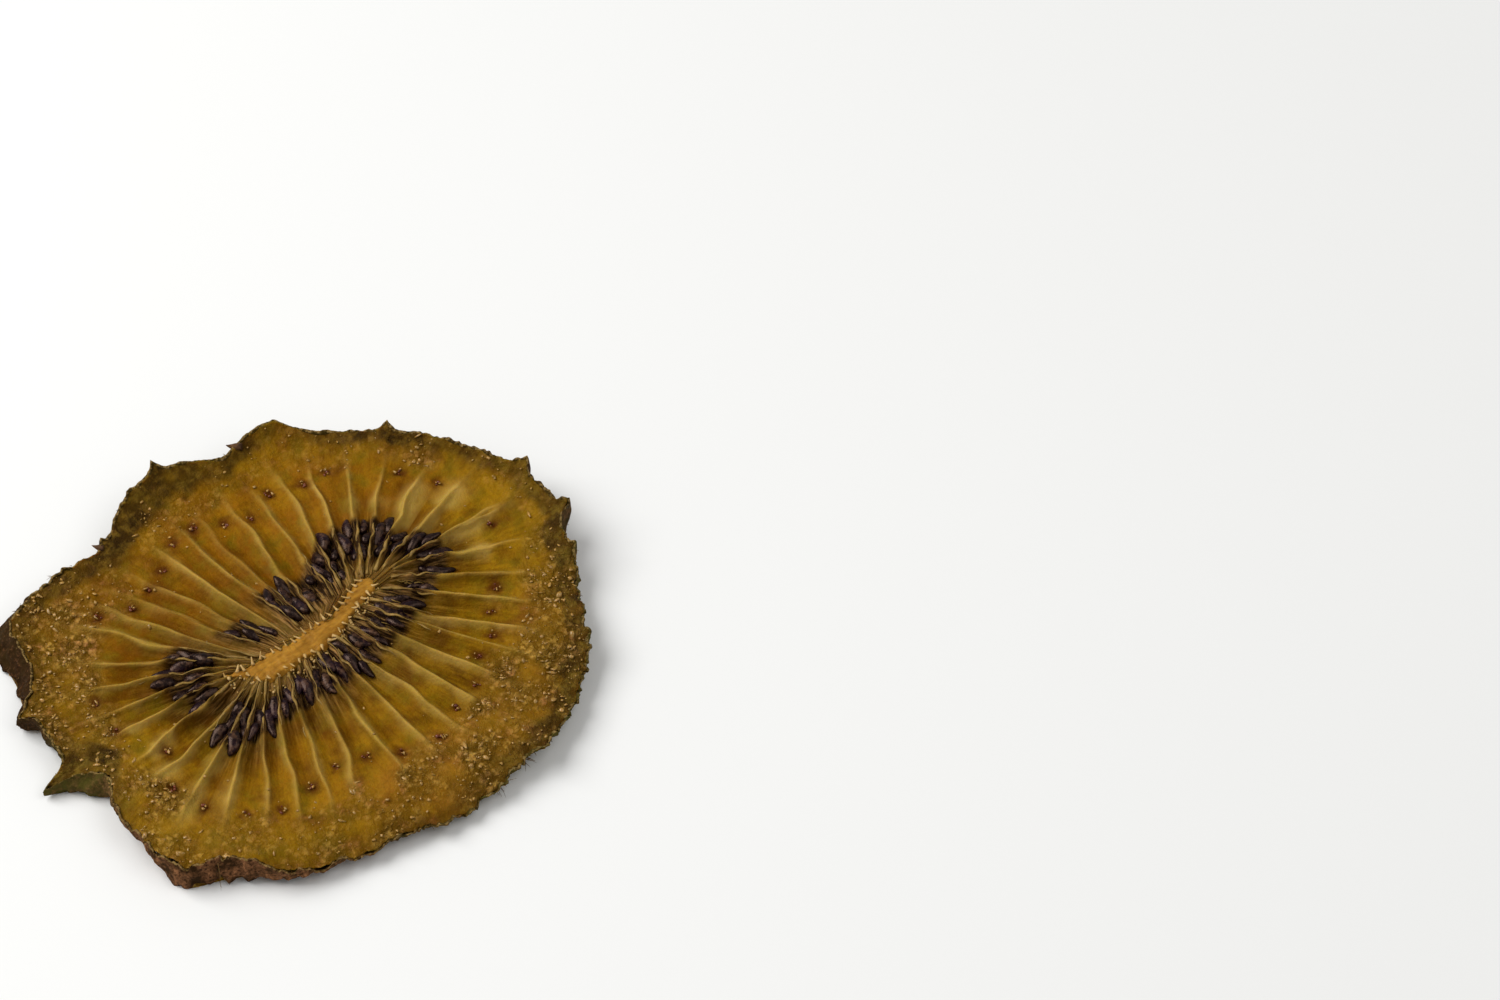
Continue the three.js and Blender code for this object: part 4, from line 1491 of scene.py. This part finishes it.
@dataclass(frozen=True)
class SkinBand:
    """The skin round the rim: a thin crinkled band whose cut edges show on both faces."""

    spokes: int = 1300
    outer_points: int = 12
    inner_points: int = 6
    inner_down: tuple[float, float] = (0.97, 0.03)  # shares of the way down at which the inner side ends
    thick: float = 0.24
    crinkle: float = 0.24
    lumps: float = 0.42
    lumps_fade: float = 0.7  # how much smaller the lumps are at the upper edge
    puff: float = 0.2  # how far the band bulges between its edges
    jag: float = 0.26  # how far the upper edge's teeth reach
    hem: float = 0.6  # how far the lower edge lifts off the ground in places
    tall: float = 1.5  # mm that the way down counts for in the random waves
    folded: Lattices = (
        Lattice(1.1, 51, 1.0, (1, 1, 0.35)), Lattice(0.4, 52, 0.6, (1, 1, 0.7)), Lattice(0.2, 55, 0.3),
    )
    lumped: Lattices = (Lattice(1.6, 57), Lattice(0.7, 60, 0.6))
    jagged: Lattices = (
        Lattice(0.5, 53, 1.0, LEVEL), Lattice(1.7, 54, 0.7, LEVEL), Lattice(0.22, 56, 0.8, LEVEL),
    )
    hemmed: Lattices = (Lattice(2.2, 58, 1.0, LEVEL), Lattice(0.6, 59, 0.5, LEVEL))
    ragged_round: Pairs = (
        (0, 0.9), (30, 0.5), (60, 0.3), (95, 0.4), (125, 0.9), (200, 1.0), (290, 1.3), (330, 1.3),
    )
    tuck: Fold = Fold(184, 5, 0.8)  # beside the flap
    belly: Fold = Fold(181, 3.5, 1.0)  # the flap's lower part, which reaches out
    belly_from: tuple[float, float] = (0.05, 0.6)  # shares of the way down over which it swells
    moss_round: Pairs = (
        (0, 0.3), (60, 0.5), (120, 0.4), (160, 0.3), (175, 1.3), (188, 1.0), (200, 0.3), (240, 0.3),
        (285, 1.6), (335, 1.5),
    )
    # how much painted shade darkens the skin at each heading: strongest from 60 to 165, none from 212 to 270
    painted_shade_round: Pairs = (
        (0, 0.6), (60, 0.75), (100, 0.8), (140, 0.85), (165, 0.8), (185, 0.4), (212, 0.0), (270, 0),
        (320, 0.1),
    )

    def unrolled(self, points: np.ndarray, down: np.ndarray) -> np.ndarray:
        """Where to read the skin's random waves: the points in plan, with the way down as their height."""
        return flat_points(points[..., 0], points[..., 1], down * self.tall)

    def crinkles(self, points: np.ndarray, down: np.ndarray) -> np.ndarray:
        """Works out how far folds and lumps push the skin out.

        Args:
            points: Points of its outer side.
            down: Their shares of the way down it.

        Returns:
            The distance at each point.
        """
        arc = self.unrolled(points, down)
        rounds = np.degrees(np.arctan2(points[..., 1], points[..., 0])) % FULL_TURN
        folds = layered(self.folded, arc) * around(self.ragged_round, rounds)
        lumps = layered(self.lumped, arc) * (1 - self.lumps_fade * (1 - down) ** 2)
        tucked = self.tuck.reach(rounds) * (1 - down) ** 2
        belly = self.belly.reach(rounds) * ramp(down, *self.belly_from)
        return self.crinkle * folds + self.lumps * lumps - tucked + belly

    def shape(self, down: np.ndarray, turn: np.ndarray, outer: np.ndarray) -> np.ndarray:
        """Shapes the band.

        Args:
            down: Each point's share of the way down.
            turn: Its turn.
            outer: Whether it lies on the outer side.

        Returns:
            The points.
        """
        points, rounds = FORM.on_skin(down, turn)
        arc = self.unrolled(points, down)
        puff = np.sin(math.pi * np.clip(down, 0, 1)) * self.puff
        shift = self.crinkles(points, down) + puff - np.where(outer, 0.0, self.thick)
        points = points + outward(rounds) * shift[..., None]
        teeth = self.jag * around(self.ragged_round, rounds) * layered(self.jagged, arc)
        points[..., 2] += teeth * (1 - down) ** 3
        points[..., 2] += self.hem * np.clip(layered(self.hemmed, arc), 0, 1) * down**2
        points[..., 2] = np.maximum(points[..., 2], 0)
        return points

    def build(self) -> None:
        """Builds the skin."""
        way_down = np.concatenate([
            np.linspace(0, 1, self.outer_points), np.linspace(*self.inner_down, self.inner_points),
        ])
        down, turn = np.meshgrid(way_down, FORM.turns(self.spokes), indexing="ij")
        outer = np.broadcast_to((np.arange(len(way_down)) < self.outer_points)[:, None], down.shape)
        rings, count = down.shape
        starts = np.arange(rings)[:, None] * count
        heading = np.mod(FORM.heading(1.0, turn), FULL_TURN)
        worn = np.where(outer, 0.9 * hump(down, 0.08), 0.8 * hump(down, 0.1))
        band = Mesh()
        band.add(self.shape(down, turn, outer), [ring_quads(starts, np.roll(starts, -1, axis=0), count)], {
            "inside": np.where(outer, 0.0, 0.85).ravel(),
            "moss": around(self.moss_round, heading).ravel(),
            # the painted shade, by heading
            "painted_shade": around(self.painted_shade_round, heading).ravel(),
            "edge": worn.ravel(),
        })
        band.piece("dried_skin", FuzzySkin().material(), Slot.SKIN)


@dataclass(frozen=True)
class CoreRidge:
    """The core: a ridge of pith through the slice, with its own waist and swells."""

    steps: int = 190
    sides: int = 44
    top: float = 3.25
    squareness: float = 0.45  # the lower, the squarer the section
    half_width: Pairs = (
        (-6.8, 0.25), (-6.2, 0.35), (-5.4, 0.5), (-4.9, 0.95), (-4.2, 1.15), (-2.5, 1.1), (-1, 1.05),
        (0.5, 1.2), (1.6, 1.1), (3, 0.85), (4.6, 0.65), (5.6, 0.75), (6.6, 0.8), (7.2, 0.6), (7.4, 0.35),
    )
    crown: Pairs = (
        (-6.8, -0.25), (-6, 0), (-5, 0), (-3, 0), (3, 0.05), (5, -0.05), (6.8, 0), (7.4, -0.3),
    )
    roughness: Lattices = (
        Lattice(0.9, 61, 0.2, (0.8, 1, 1)), Lattice(0.4, 62, 0.12), Lattice(0.2, 63, 0.05),
    )

    @property
    def ends(self) -> tuple[float, float]:
        """The X of both ends."""
        return self.half_width[0][0], self.half_width[-1][0]

    def line(self, x: np.ndarray) -> np.ndarray:
        """The middle line at an X, on the plane that the slice lies on."""
        return flat_points(x - FORM.box_middle[0], through(FORM.core_line, x) - FORM.box_middle[1])

    def sideways(self, x: np.ndarray) -> np.ndarray:
        """The direction across the core at an X, towards +Y."""
        step = 0.01
        ahead = self.line(x + step) - self.line(x - step)
        ahead /= np.linalg.norm(ahead, axis=-1, keepdims=True)
        return np.stack([-ahead[..., 1], ahead[..., 0], ahead[..., 2]], axis=-1)

    def build(self) -> None:
        """Builds the core."""
        x = np.linspace(*self.ends, self.steps)[:, None]
        turn = (np.arange(self.sides) * 2 * math.pi / self.sides)[None]
        round_section = np.cos(turn), np.sin(turn)
        side, rise = (np.sign(wave) * np.abs(wave) ** self.squareness for wave in round_section)
        across = self.sideways(x)
        points = self.line(x) + across * (side * through(self.half_width, x))[..., None]
        points[..., 2] += (self.top + through(self.crown, x)) / 2 * (1 + rise)
        rough = layered(self.roughness, points)
        points = points + across * (rough * side)[..., None]
        points[..., 2] += rough * np.where(rise > 0, 1, 0)
        points[..., 2] = np.maximum(points[..., 2], 0)
        first, last = (ring.mean(axis=0)[None] for ring in (points[0], points[-1]))
        ridge = Mesh()
        ridge.add(np.concatenate([first, points.reshape(-1, 3), last]), ring_faces(self.steps, self.sides))
        ridge.piece("core_pith", DriedPith().material(), Slot.CORE)


@dataclass(frozen=True)
class CoreFringe:
    """The seeds' broken stalks: small pale teeth along both sides of the core, and crumbs beside them."""

    core: CoreRidge
    draws: int = 71  # the start of the random draws
    pitch: float = 0.65
    length: tuple[float, float] = (0.4, 0.58)
    radius: float = 0.15
    tooth_taper: tuple[float, ...] = (1.0, 0.75, 0.5, 0.2)
    root: float = 0.35  # how deep a tooth starts inside the core
    under_high: float = 0.2  # the teeth's height on the under face
    crumb_rows: tuple[tuple[int, int], ...] = ((-1, 6), (1, 0))  # side of the core, and crumbs to a tooth
    crumbs_reach: float = 1.3
    crumb_radii: tuple[float, float] = (0.05, 0.14)
    crumb_under: float = 0.4  # the crumbs' height on the under face

    def build(self) -> None:
        """Builds the fringe on both faces."""
        draw = np.random.default_rng(self.draws)
        fringe = Mesh()
        for face in Face:
            for side, crumbs in self.crumb_rows:
                for place in np.arange(*self.core.ends, self.pitch):
                    x = np.array([place + draw.uniform(-0.15, 0.15)])
                    self.tooth(fringe, draw, face, x, side)
                    for _ in range(crumbs):
                        self.crumb(fringe, draw, face, x + draw.uniform(-0.3, 0.3), side)
        fringe.piece("core_fringe", StalkTip().material(), Slot.FIBRE)

    def edge(self, x: np.ndarray, side: int) -> tuple[np.ndarray, np.ndarray]:
        """The core's edge at an X, on the plane that the slice lies on, and the way out from it."""
        out = self.core.sideways(x)[0] * side
        return self.core.line(x)[0] + out * float(through(self.core.half_width, x)[0]), out

    def tooth(self, fringe: Mesh, draw: np.random.Generator, face: Face, x: np.ndarray, side: int) -> None:
        """Adds a tooth that stands out of the core's edge.

        Args:
            fringe: The mesh to add it to.
            draw: The random draws.
            face: The face that it belongs to.
            x: The X of its root.
            side: The side of the core, 1 towards +Y and -1 away from it.
        """
        edge, out = self.edge(x, side)
        along = out[[1, 0, 2]] * (1, -1, 0) * draw.uniform(-0.7, 0.7)
        top = self.core.top + float(through(self.core.crown, x)[0])
        high = top - draw.uniform(-0.05, 0.12) if face is Face.TOP else self.under_high
        reach = draw.uniform(*self.length)
        steps = np.linspace(0, 1, len(self.tooth_taper))[:, None]
        rise = np.array([0, 0, draw.uniform(0.0, 0.4) * face.value])
        path = edge - out * self.root + (0, 0, high) + (out + along) * steps * reach + rise * steps**2
        path[:, 2] = np.maximum(path[:, 2], self.radius)
        fringe.add(*strand(path, self.radius * np.array(self.tooth_taper) * draw.uniform(0.7, 1.2), 5))

    def crumb(self, fringe: Mesh, draw: np.random.Generator, face: Face, x: np.ndarray, side: int) -> None:
        """Adds a crumb on the flesh beside the core.

        Args:
            fringe: The mesh to add it to.
            draw: The random draws.
            face: The face that it lies on.
            x: Its X along the core.
            side: The side of the core, 1 towards +Y and -1 away from it.
        """
        edge, out = self.edge(x, side)
        away = draw.uniform(0, 1) ** 1.5
        top = self.core.top - 0.2 - 0.45 * away
        at = edge + out * away * self.crumbs_reach + (0, 0, top if face is Face.TOP else self.crumb_under)
        points, faces = blob(6, 3)
        points = points * draw.uniform(0.6, 1.5, 3) * draw.uniform(*self.crumb_radii)
        fringe.add(turned(points, draw.uniform(0, 3), draw.uniform(0, 3), draw.uniform(0, 6)) + at, faces)


@dataclass(frozen=True)
class SeedRows:
    """How the seeds of a face lie: the share between two seeds of a row, and how far they stand out."""

    face: Face
    pitch: float
    over: float


@dataclass(frozen=True)
class Seeds:
    """The seeds, flattened drops with a wrinkled coat, in rows along the chambers."""

    draws: int = 80  # the start of the random draws, before the face's own number
    rows: tuple[SeedRows, ...] = (SeedRows(Face.TOP, 0.075, 0.14), SeedRows(Face.UNDER, 0.14, 0.05))
    half: tuple[float, float, float] = (1.08, 0.52, 0.4)
    sizes: tuple[float, float] = (0.75, 1.15)
    stagger: float = 0.17  # of a chamber's width, from its middle
    taper: float = 0.28
    sides: int = 14
    rings: int = 13
    wrinkle: float = 0.16
    folds: Lattice = Lattice(0.45, 72)
    bend: tuple[float, float, float] = (0, 0.12, 0.1)
    ground: float = 0.02  # the least height of a seed's lowest point

    def drop(self, draw: np.random.Generator, number: int) -> Shape:
        """Makes one seed about the origin, pointing along X.

        Args:
            draw: The random draws.
            number: The seed's number, which its wrinkles go by.

        Returns:
            Its points and its faces.
        """
        points, faces = blob(self.sides, self.rings)
        taper = 1 - self.taper * points[:, :1]
        points = points * np.concatenate([np.ones_like(taper), taper, taper], axis=1)
        points = points * np.array(self.half) * draw.uniform(*self.sizes)
        folds = self.folds.waves(points * (0.4, 1, 1) + (0, 0, number * 5.0))
        bent = self.bend * np.sin(points[:, :1] * 2.2 + number)
        points = points * (1 + self.wrinkle * folds[:, None]) + bent
        return turned(points, draw.uniform(-0.8, 0.8), draw.uniform(-0.35, 0.3), 0.0), faces

    def seed(
        self, draw: np.random.Generator, rows: SeedRows, turn: float, share: float, number: int
    ) -> Shape:
        """Lays one seed on a face.

        Args:
            draw: The random draws.
            rows: How the face's seeds lie.
            turn: The middle of the row that it belongs to.
            share: Its place in the row.
            number: Its number.

        Returns:
            Its points and its faces.
        """
        turns = np.array([turn + draw.uniform(-0.06, 0.06)])
        share = share + draw.uniform(-0.012, 0.012)
        at, ahead = (FORM.on_face(rows.face, place, turns)[0][0] for place in (share, share + 0.05))
        heading = math.atan2(ahead[1] - at[1], ahead[0] - at[0]) + draw.uniform(-0.3, 0.3)
        points, faces = self.drop(draw, number)
        side = rows.face.value
        points = turned(points, 0, 0, heading) * (1, 1, side)
        points = points + at + (0, 0, (rows.over + draw.uniform(-0.2, 0.15)) * side)
        points[:, 2] += max(self.ground - points[:, 2].min(), 0)
        if rows.face is Face.UNDER:
            faces = [corners[:, ::-1] for corners in faces]
        return points, faces

    def row_ends(self, ray: int) -> tuple[float, float] | None:
        """The shares where the row after a ray starts and ends, or nothing where the chamber is bare."""
        middle = (FORM.rays[ray][0] + float(FORM.ray_heading(ray + 1, FORM.ray_shares[0]))) / 2
        if any(low < middle < high for low, high in PATTERN.bare):
            return None
        return float(around(PATTERN.seeds_from, middle)), float(around(PATTERN.seeds_to, middle))

    def build(self) -> None:
        """Builds the seeds of both faces."""
        seeds = Mesh()
        number = 0
        for rows in self.rows:
            draw = np.random.default_rng(self.draws + rows.face.value)
            for ray in range(FORM.chambers):
                ends = self.row_ends(ray)
                if ends is None:
                    continue
                side = draw.choice((-1, 1))
                share = ends[0] + rows.pitch * draw.uniform(0, 0.6)
                while share < ends[1]:
                    points, faces = self.seed(draw, rows, ray + 0.5 + side * self.stagger, share, number)
                    seeds.add(points, faces, {"film": np.full(len(points), draw.uniform(0.2, 1.0))})
                    number += 1
                    side = -side
                    share += rows.pitch
        LOG.info("%d seeds", number)
        seeds.piece("seeds", SeedCoat().material(), Slot.SEED)


@dataclass(frozen=True)
class Strand:
    """One strand on a face: its turn, the shares where it starts and ends, and its radius."""

    turn: float
    start: float
    end: float
    radius: float


@dataclass(frozen=True)
class RayFibres:
    """The rays' strands, which run from the core over the seeds and sink into the flesh beyond them."""

    draws: int = 90  # the start of the random draws, before the face's own number
    steps: int = 26
    sides: int = 6
    start: float = 0.01
    radius: float = 0.15
    thickest: float = 1.1  # of the radius
    flat: float = 0.55
    read_at: float = 0.4  # the share at which a ray's heading is read
    lift: tuple[float, float] = (0.12, 0.25)  # off the flesh, and more where it runs over seeds
    sink: float = 0.15  # into the flesh at its end

    def build(self) -> None:
        """Builds the strands and the fine stalks between them on both faces."""
        fibres = Mesh()
        for face in Face:
            draw = np.random.default_rng(self.draws + face.value)
            for ray in range(FORM.chambers):
                heading = float(FORM.ray_heading(ray, self.read_at)) % FULL_TURN
                strength = min(float(around(PATTERN.ray_strength, heading)), self.thickest)
                end = float(around(PATTERN.seeds_to, heading)) + draw.uniform(0.1, 0.2)
                fibres.add(*self.lay(face, draw, Strand(ray, self.start, end, self.radius * strength)))
                for _ in range(draw.integers(1, 4)):
                    turn = ray + draw.uniform(0.12, 0.88)
                    first = draw.uniform(0.03, 0.1)
                    last = first + draw.uniform(0.06, 0.16)
                    stalk = Strand(turn, first, last, draw.uniform(0.03, 0.07))
                    fibres.add(*self.lay(face, draw, stalk))
        fibres.piece("ray_fibres", DriedFibre().material(), Slot.FIBRE)

    def lay(self, face: Face, draw: np.random.Generator, one: Strand) -> Shape:
        """Lays one strand on a face, in slow curves.

        Args:
            face: The face.
            draw: The random draws.
            one: The strand.

        Returns:
            Its points and its faces.
        """
        steps = np.linspace(0, 1, self.steps)
        shares = one.start + (one.end - one.start) * steps
        waves = draw.uniform(0, 7) + shares * 30
        turns = one.turn + (0.06 * np.sin(waves) + 0.04 * np.sin(waves * 2.3)) * np.minimum(steps * 4, 1)
        path = FORM.on_face(face, shares, turns)[0]
        low, over_seeds = self.lift
        lift = (low + over_seeds * PATTERN.seeded(shares, turns)) * (1 - steps**3) - self.sink * steps**3
        path[:, 2] += face.value * (lift + 0.05 * np.sin(waves * 1.7))
        path[:, 2] = np.maximum(path[:, 2], one.radius)
        taper = one.radius * (0.65 + 0.4 * np.sin(waves * 1.3)) * (1 - 0.75 * steps**2)
        return strand(path, taper, self.sides, self.flat)


@dataclass(frozen=True)
class VeinEnds:
    """The veins' cut ends: a red-brown knot in a pit, one to a chamber."""

    draws: int = 100  # the start of the random draws, before the face's own number
    radius: float = 0.2
    grains: int = 3  # to a knot
    spread: float = 0.25
    depth: float = 0.06

    def build(self) -> None:
        """Builds the knots of both faces."""
        ends = Mesh()
        for face in Face:
            draw = np.random.default_rng(self.draws + face.value)
            for at in np.repeat(PATTERN.veins(face), self.grains, axis=0):
                points, faces = blob(8, 5)
                size = self.radius * draw.uniform(0.4, 1.0)
                shift = np.array([*draw.uniform(-self.spread, self.spread, 2), -self.depth * face.value])
                ends.add(points * size * draw.uniform(0.5, 1.1, 3) + at + shift, faces)
        ends.piece("vein_ends", VeinTip().material(), Slot.FLESH)


@dataclass(frozen=True)
class Flecks:
    """Pale flecks in the pebbled flesh, thick where it is thickest, and a few on the chambers."""

    draws: int = 110  # the start of the random draws, before the face's own number
    tries: tuple[tuple[Face, int], ...] = ((Face.TOP, 8500), (Face.UNDER, 3500))
    zone: tuple[float, float] = (0.03, 0.98)  # squares of the shares between which flecks are tried
    on_chambers: float = 0.014  # how likely a try is kept outside the pebbled flesh
    radii: tuple[float, float] = (0.04, 0.17)
    glint_radii: tuple[float, float] = (0.06, 0.12)
    glints: int = 2  # beside each vein's end
    glint_spread: float = 0.35
    glint_high: float = 0.08
    over: float = 0.02  # how far a fleck's middle stands out of the flesh

    def places(self, face: Face, tries: int, draw: np.random.Generator) -> tuple[np.ndarray, np.ndarray]:
        """Draws where the flecks of a face lie.

        Args:
            face: The face.
            tries: How many places are tried.
            draw: The random draws.

        Returns:
            The points and the radii.
        """
        share = np.sqrt(draw.uniform(*self.zone, tries))
        turn = draw.uniform(0, FORM.chambers, tries)
        at = Places(face, share, turn, FORM.on_face(face, share, turn)[0])
        marks = PATTERN.marks(at)
        points = at.points + flat_points(0.0, 0.0, PATTERN.raise_by(at, marks))
        chance = marks["grain"] ** 1.5 * 0.6 + self.on_chambers
        kept = draw.uniform(0, 1, tries) < chance * (1 - marks["bed"])
        ends = np.repeat(PATTERN.veins(face), self.glints, axis=0)
        spread = draw.uniform(-self.glint_spread, self.glint_spread, (2, len(ends)))
        ends = ends + flat_points(*spread, self.glint_high * face.value)
        low, high = self.radii
        sizes = low + (high - low) * draw.uniform(0, 1, kept.sum()) ** 2
        glints = draw.uniform(*self.glint_radii, len(ends))
        return np.concatenate([points[kept], ends]), np.concatenate([sizes, glints])

    def fleck(self, draw: np.random.Generator, size: float) -> Shape:
        """Makes one fleck about the origin: a small uneven lump, sometimes twice as long.

        Args:
            draw: The random draws.
            size: Its radius.

        Returns:
            Its points and its faces.
        """
        ball, faces = blob(6, 3)
        ball = ball * draw.uniform(0.65, 1.35, (len(ball), 1))
        shape = ball * size * draw.uniform(0.7, 1.4, 3) * (draw.choice((1, 1, 1, 2)), 1, 0.55)
        return turned(shape, draw.uniform(-0.5, 0.5), draw.uniform(-0.5, 0.5), draw.uniform(0, 6)), faces

    def build(self) -> None:
        """Builds the flecks of both faces."""
        flecks = Mesh()
        for face, tries in self.tries:
            draw = np.random.default_rng(self.draws + face.value)
            for at, size in zip(*self.places(face, tries, draw)):
                points, faces = self.fleck(draw, size)
                points = points + at + (0, 0, self.over * face.value)
                points[:, 2] = np.maximum(points[:, 2], 0)
                flecks.add(points, faces)
        flecks.piece("sugar_flecks", SugarFleck().material(), Slot.FIBRE)


@dataclass(frozen=True)
class Thorn:
    """A thorn of puckered skin: its heading, the round that it points along, and its length."""

    at: float
    way: float
    length: float


@dataclass(frozen=True)
class SkinHairs:
    """The skin's bristles: short ones all round, tufts of long ones, and two thorns of puckered skin."""

    draws: int = 120  # the start of the random draws
    count: int = 260
    lengths: tuple[float, float] = (0.12, 0.32)
    tufts: Pairs = ((121, 0.8), (288.5, 1.0), (281.5, 0.5), (221.5, 0.4))  # heading and spread in degrees
    tuft_hairs: int = 7
    tuft_lengths: tuple[float, float] = (0.6, 1.3)
    radius: float = 0.04
    ground: float = 0.03  # the least height of a hair's middle line
    thorns: tuple[Thorn, ...] = (Thorn(111.5, 132, 0.55), Thorn(73.8, 142, 0.7))
    thorn_radius: float = 0.45  # of its length
    thorn_rise: float = 0.2  # of its length
    thorn_down: float = 0.05  # its share of the way down the skin

    def hair(self, draw: np.random.Generator, turn: float, length: float) -> Shape:
        """Grows one bristle, which bends under its weight.

        Args:
            draw: The random draws.
            turn: Where it grows.
            length: How long it is.

        Returns:
            Its points and its faces.
        """
        down = draw.uniform(0.05, 0.8)
        at, rounds = FORM.on_skin(np.array([down]), np.array([turn]))
        angle = math.radians(float(rounds[0])) + draw.uniform(-0.9, 0.9)
        out = np.array([math.cos(angle), math.sin(angle), draw.uniform(-0.6, 0.5)])
        steps = np.linspace(0, 1, 5)[:, None]
        bend = np.array([*draw.uniform(-0.3, 0.3, 2), -0.4]) * length
        path = at[0] + out * length * steps + bend * steps**2
        path[:, 2] = np.maximum(path[:, 2], self.ground)
        return strand(path, self.radius * (1 - 0.8 * steps[:, 0]), 3)

    def thorn(self, one: Thorn) -> Shape:
        """Grows one thorn out of the skin's upper edge.

        Args:
            one: The thorn.

        Returns:
            Its points and its faces.
        """
        at = FORM.on_skin(np.array([self.thorn_down]), np.array([PATTERN.turn_at(one.at, 1.0)]))[0][0]
        out = np.array([math.cos(math.radians(one.way)), math.sin(math.radians(one.way)), 0.1])
        steps = np.linspace(-0.8, 1, 9)[:, None]
        path = at + out * one.length * steps + (0, 0, self.thorn_rise * one.length) * steps**2
        taper = 1 - 0.9 * np.maximum(steps[:, 0], 0)
        return strand(path, self.thorn_radius * one.length * taper, 8)

    def build(self) -> None:
        """Builds the hairs and the thorns."""
        hairs = Mesh()
        draw = np.random.default_rng(self.draws)
        turns = draw.uniform(0, FORM.chambers, self.count)
        places = [(turn, draw.uniform(*self.lengths)) for turn in turns]
        for middle, spread in self.tufts:
            for _ in range(self.tuft_hairs):
                heading = (middle + draw.normal() * spread * 0.5) % FULL_TURN
                places.append((PATTERN.turn_at(heading, 1.0), draw.uniform(*self.tuft_lengths)))
        for turn, length in places:
            hairs.add(*self.hair(draw, turn, length))
        for one in self.thorns:
            hairs.add(*self.thorn(one))
        hairs.piece("skin_hairs", SkinHair().material(), Slot.SKIN)


# ---- The studio ----------------------------------------------------------------------------------


def towards(azimuth: float, elevation: float) -> Vector:
    """The way to something at degrees about Z, from the -Y side towards +X, and above the floor."""
    azimuth, elevation = math.radians(azimuth), math.radians(elevation)
    flat = math.cos(elevation)
    return Vector((math.sin(azimuth) * flat, -math.cos(azimuth) * flat, math.sin(elevation)))


@dataclass(frozen=True)
class Softbox:
    """A square softbox that looks at the slice: its watts, size, direction in degrees and distance."""

    name: str
    watts: float
    size: float
    azimuth: float
    elevation: float
    far: float

    def build(self) -> None:
        """Hangs the softbox."""
        data = bpy.data.lights.new(self.name, "AREA")
        data.energy = self.watts
        data.size = self.size * MM
        lamp = in_scene(self.name, data)
        way = towards(self.azimuth, self.elevation)
        lamp.location = way * self.far * MM
        lamp.rotation_euler = way.to_track_quat("Z", "Y").to_euler()


@dataclass(frozen=True)
class Studio:
    """A pale floor, soft lights, and the camera at the photograph's place."""

    aim: tuple[float, float, float] = (36.713, -9.036, 0.0)  # the point at the middle of the picture
    azimuth: float = -38
    elevation: float = 52
    distance: float = 400
    lens: float = 120
    sensor: float = 36.0
    nearest: float = 10  # what lies closer to the camera isn't drawn
    floor_size: float = 3000
    lights: tuple[Softbox, ...] = (
        Softbox("key", 2.3, 380, -140, 50, 500),
        Softbox("fill", 0.75, 400, 35, 60, 600),
    )
    sky: float = 0.32

    def camera(self) -> None:
        """Sets up the camera."""
        back = towards(self.azimuth, self.elevation)
        data = bpy.data.cameras.new("camera")
        data.lens = self.lens
        data.sensor_width = self.sensor
        data.clip_start = self.nearest * MM
        camera = in_scene("camera", data)
        camera.location = (Vector(self.aim) + back * self.distance) * MM
        camera.rotation_euler = back.to_track_quat("Z", "Y").to_euler()
        bpy.context.scene.camera = camera

    def floor(self) -> None:
        """Lays the floor."""
        mesh = bpy.data.meshes.new("floor")
        half = self.floor_size / 2 * MM
        corners = [(-half, -half, 0), (half, -half, 0), (half, half, 0), (-half, half, 0)]
        mesh.from_pydata(corners, [], [(0, 1, 2, 3)])
        mesh.materials.append(MattPaper().material())
        in_scene("floor", mesh)

    def world(self) -> None:
        """Lights the slice evenly from all round, and shows its colours as they are."""
        world = bpy.data.worlds.new("studio")
        world.use_nodes = True
        background = world.node_tree.nodes["Background"]
        background.inputs["Color"].default_value = (1.0, 1.0, 1.0, 1.0)
        background.inputs["Strength"].default_value = self.sky
        bpy.context.scene.world = world
        bpy.context.scene.view_settings.view_transform = "Standard"

    def build(self) -> None:
        """Sets up the camera, the lights, the floor and the sky."""
        self.camera()
        for light in self.lights:
            light.build()
        self.floor()
        self.world()


def main() -> None:
    """Builds the studio and the slice."""
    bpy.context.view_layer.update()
    Studio().build()
    core, skin = CoreRidge(), SkinBand()
    body = FleshBody(skin), skin, core, CoreFringe(core)
    for part in (*body, Seeds(), RayFibres(), VeinEnds(), Flecks(), SkinHairs()):
        part.build()


if __name__ == "__main__":
    logging.basicConfig(level=logging.INFO, format="%(name)s: %(message)s")
    main()
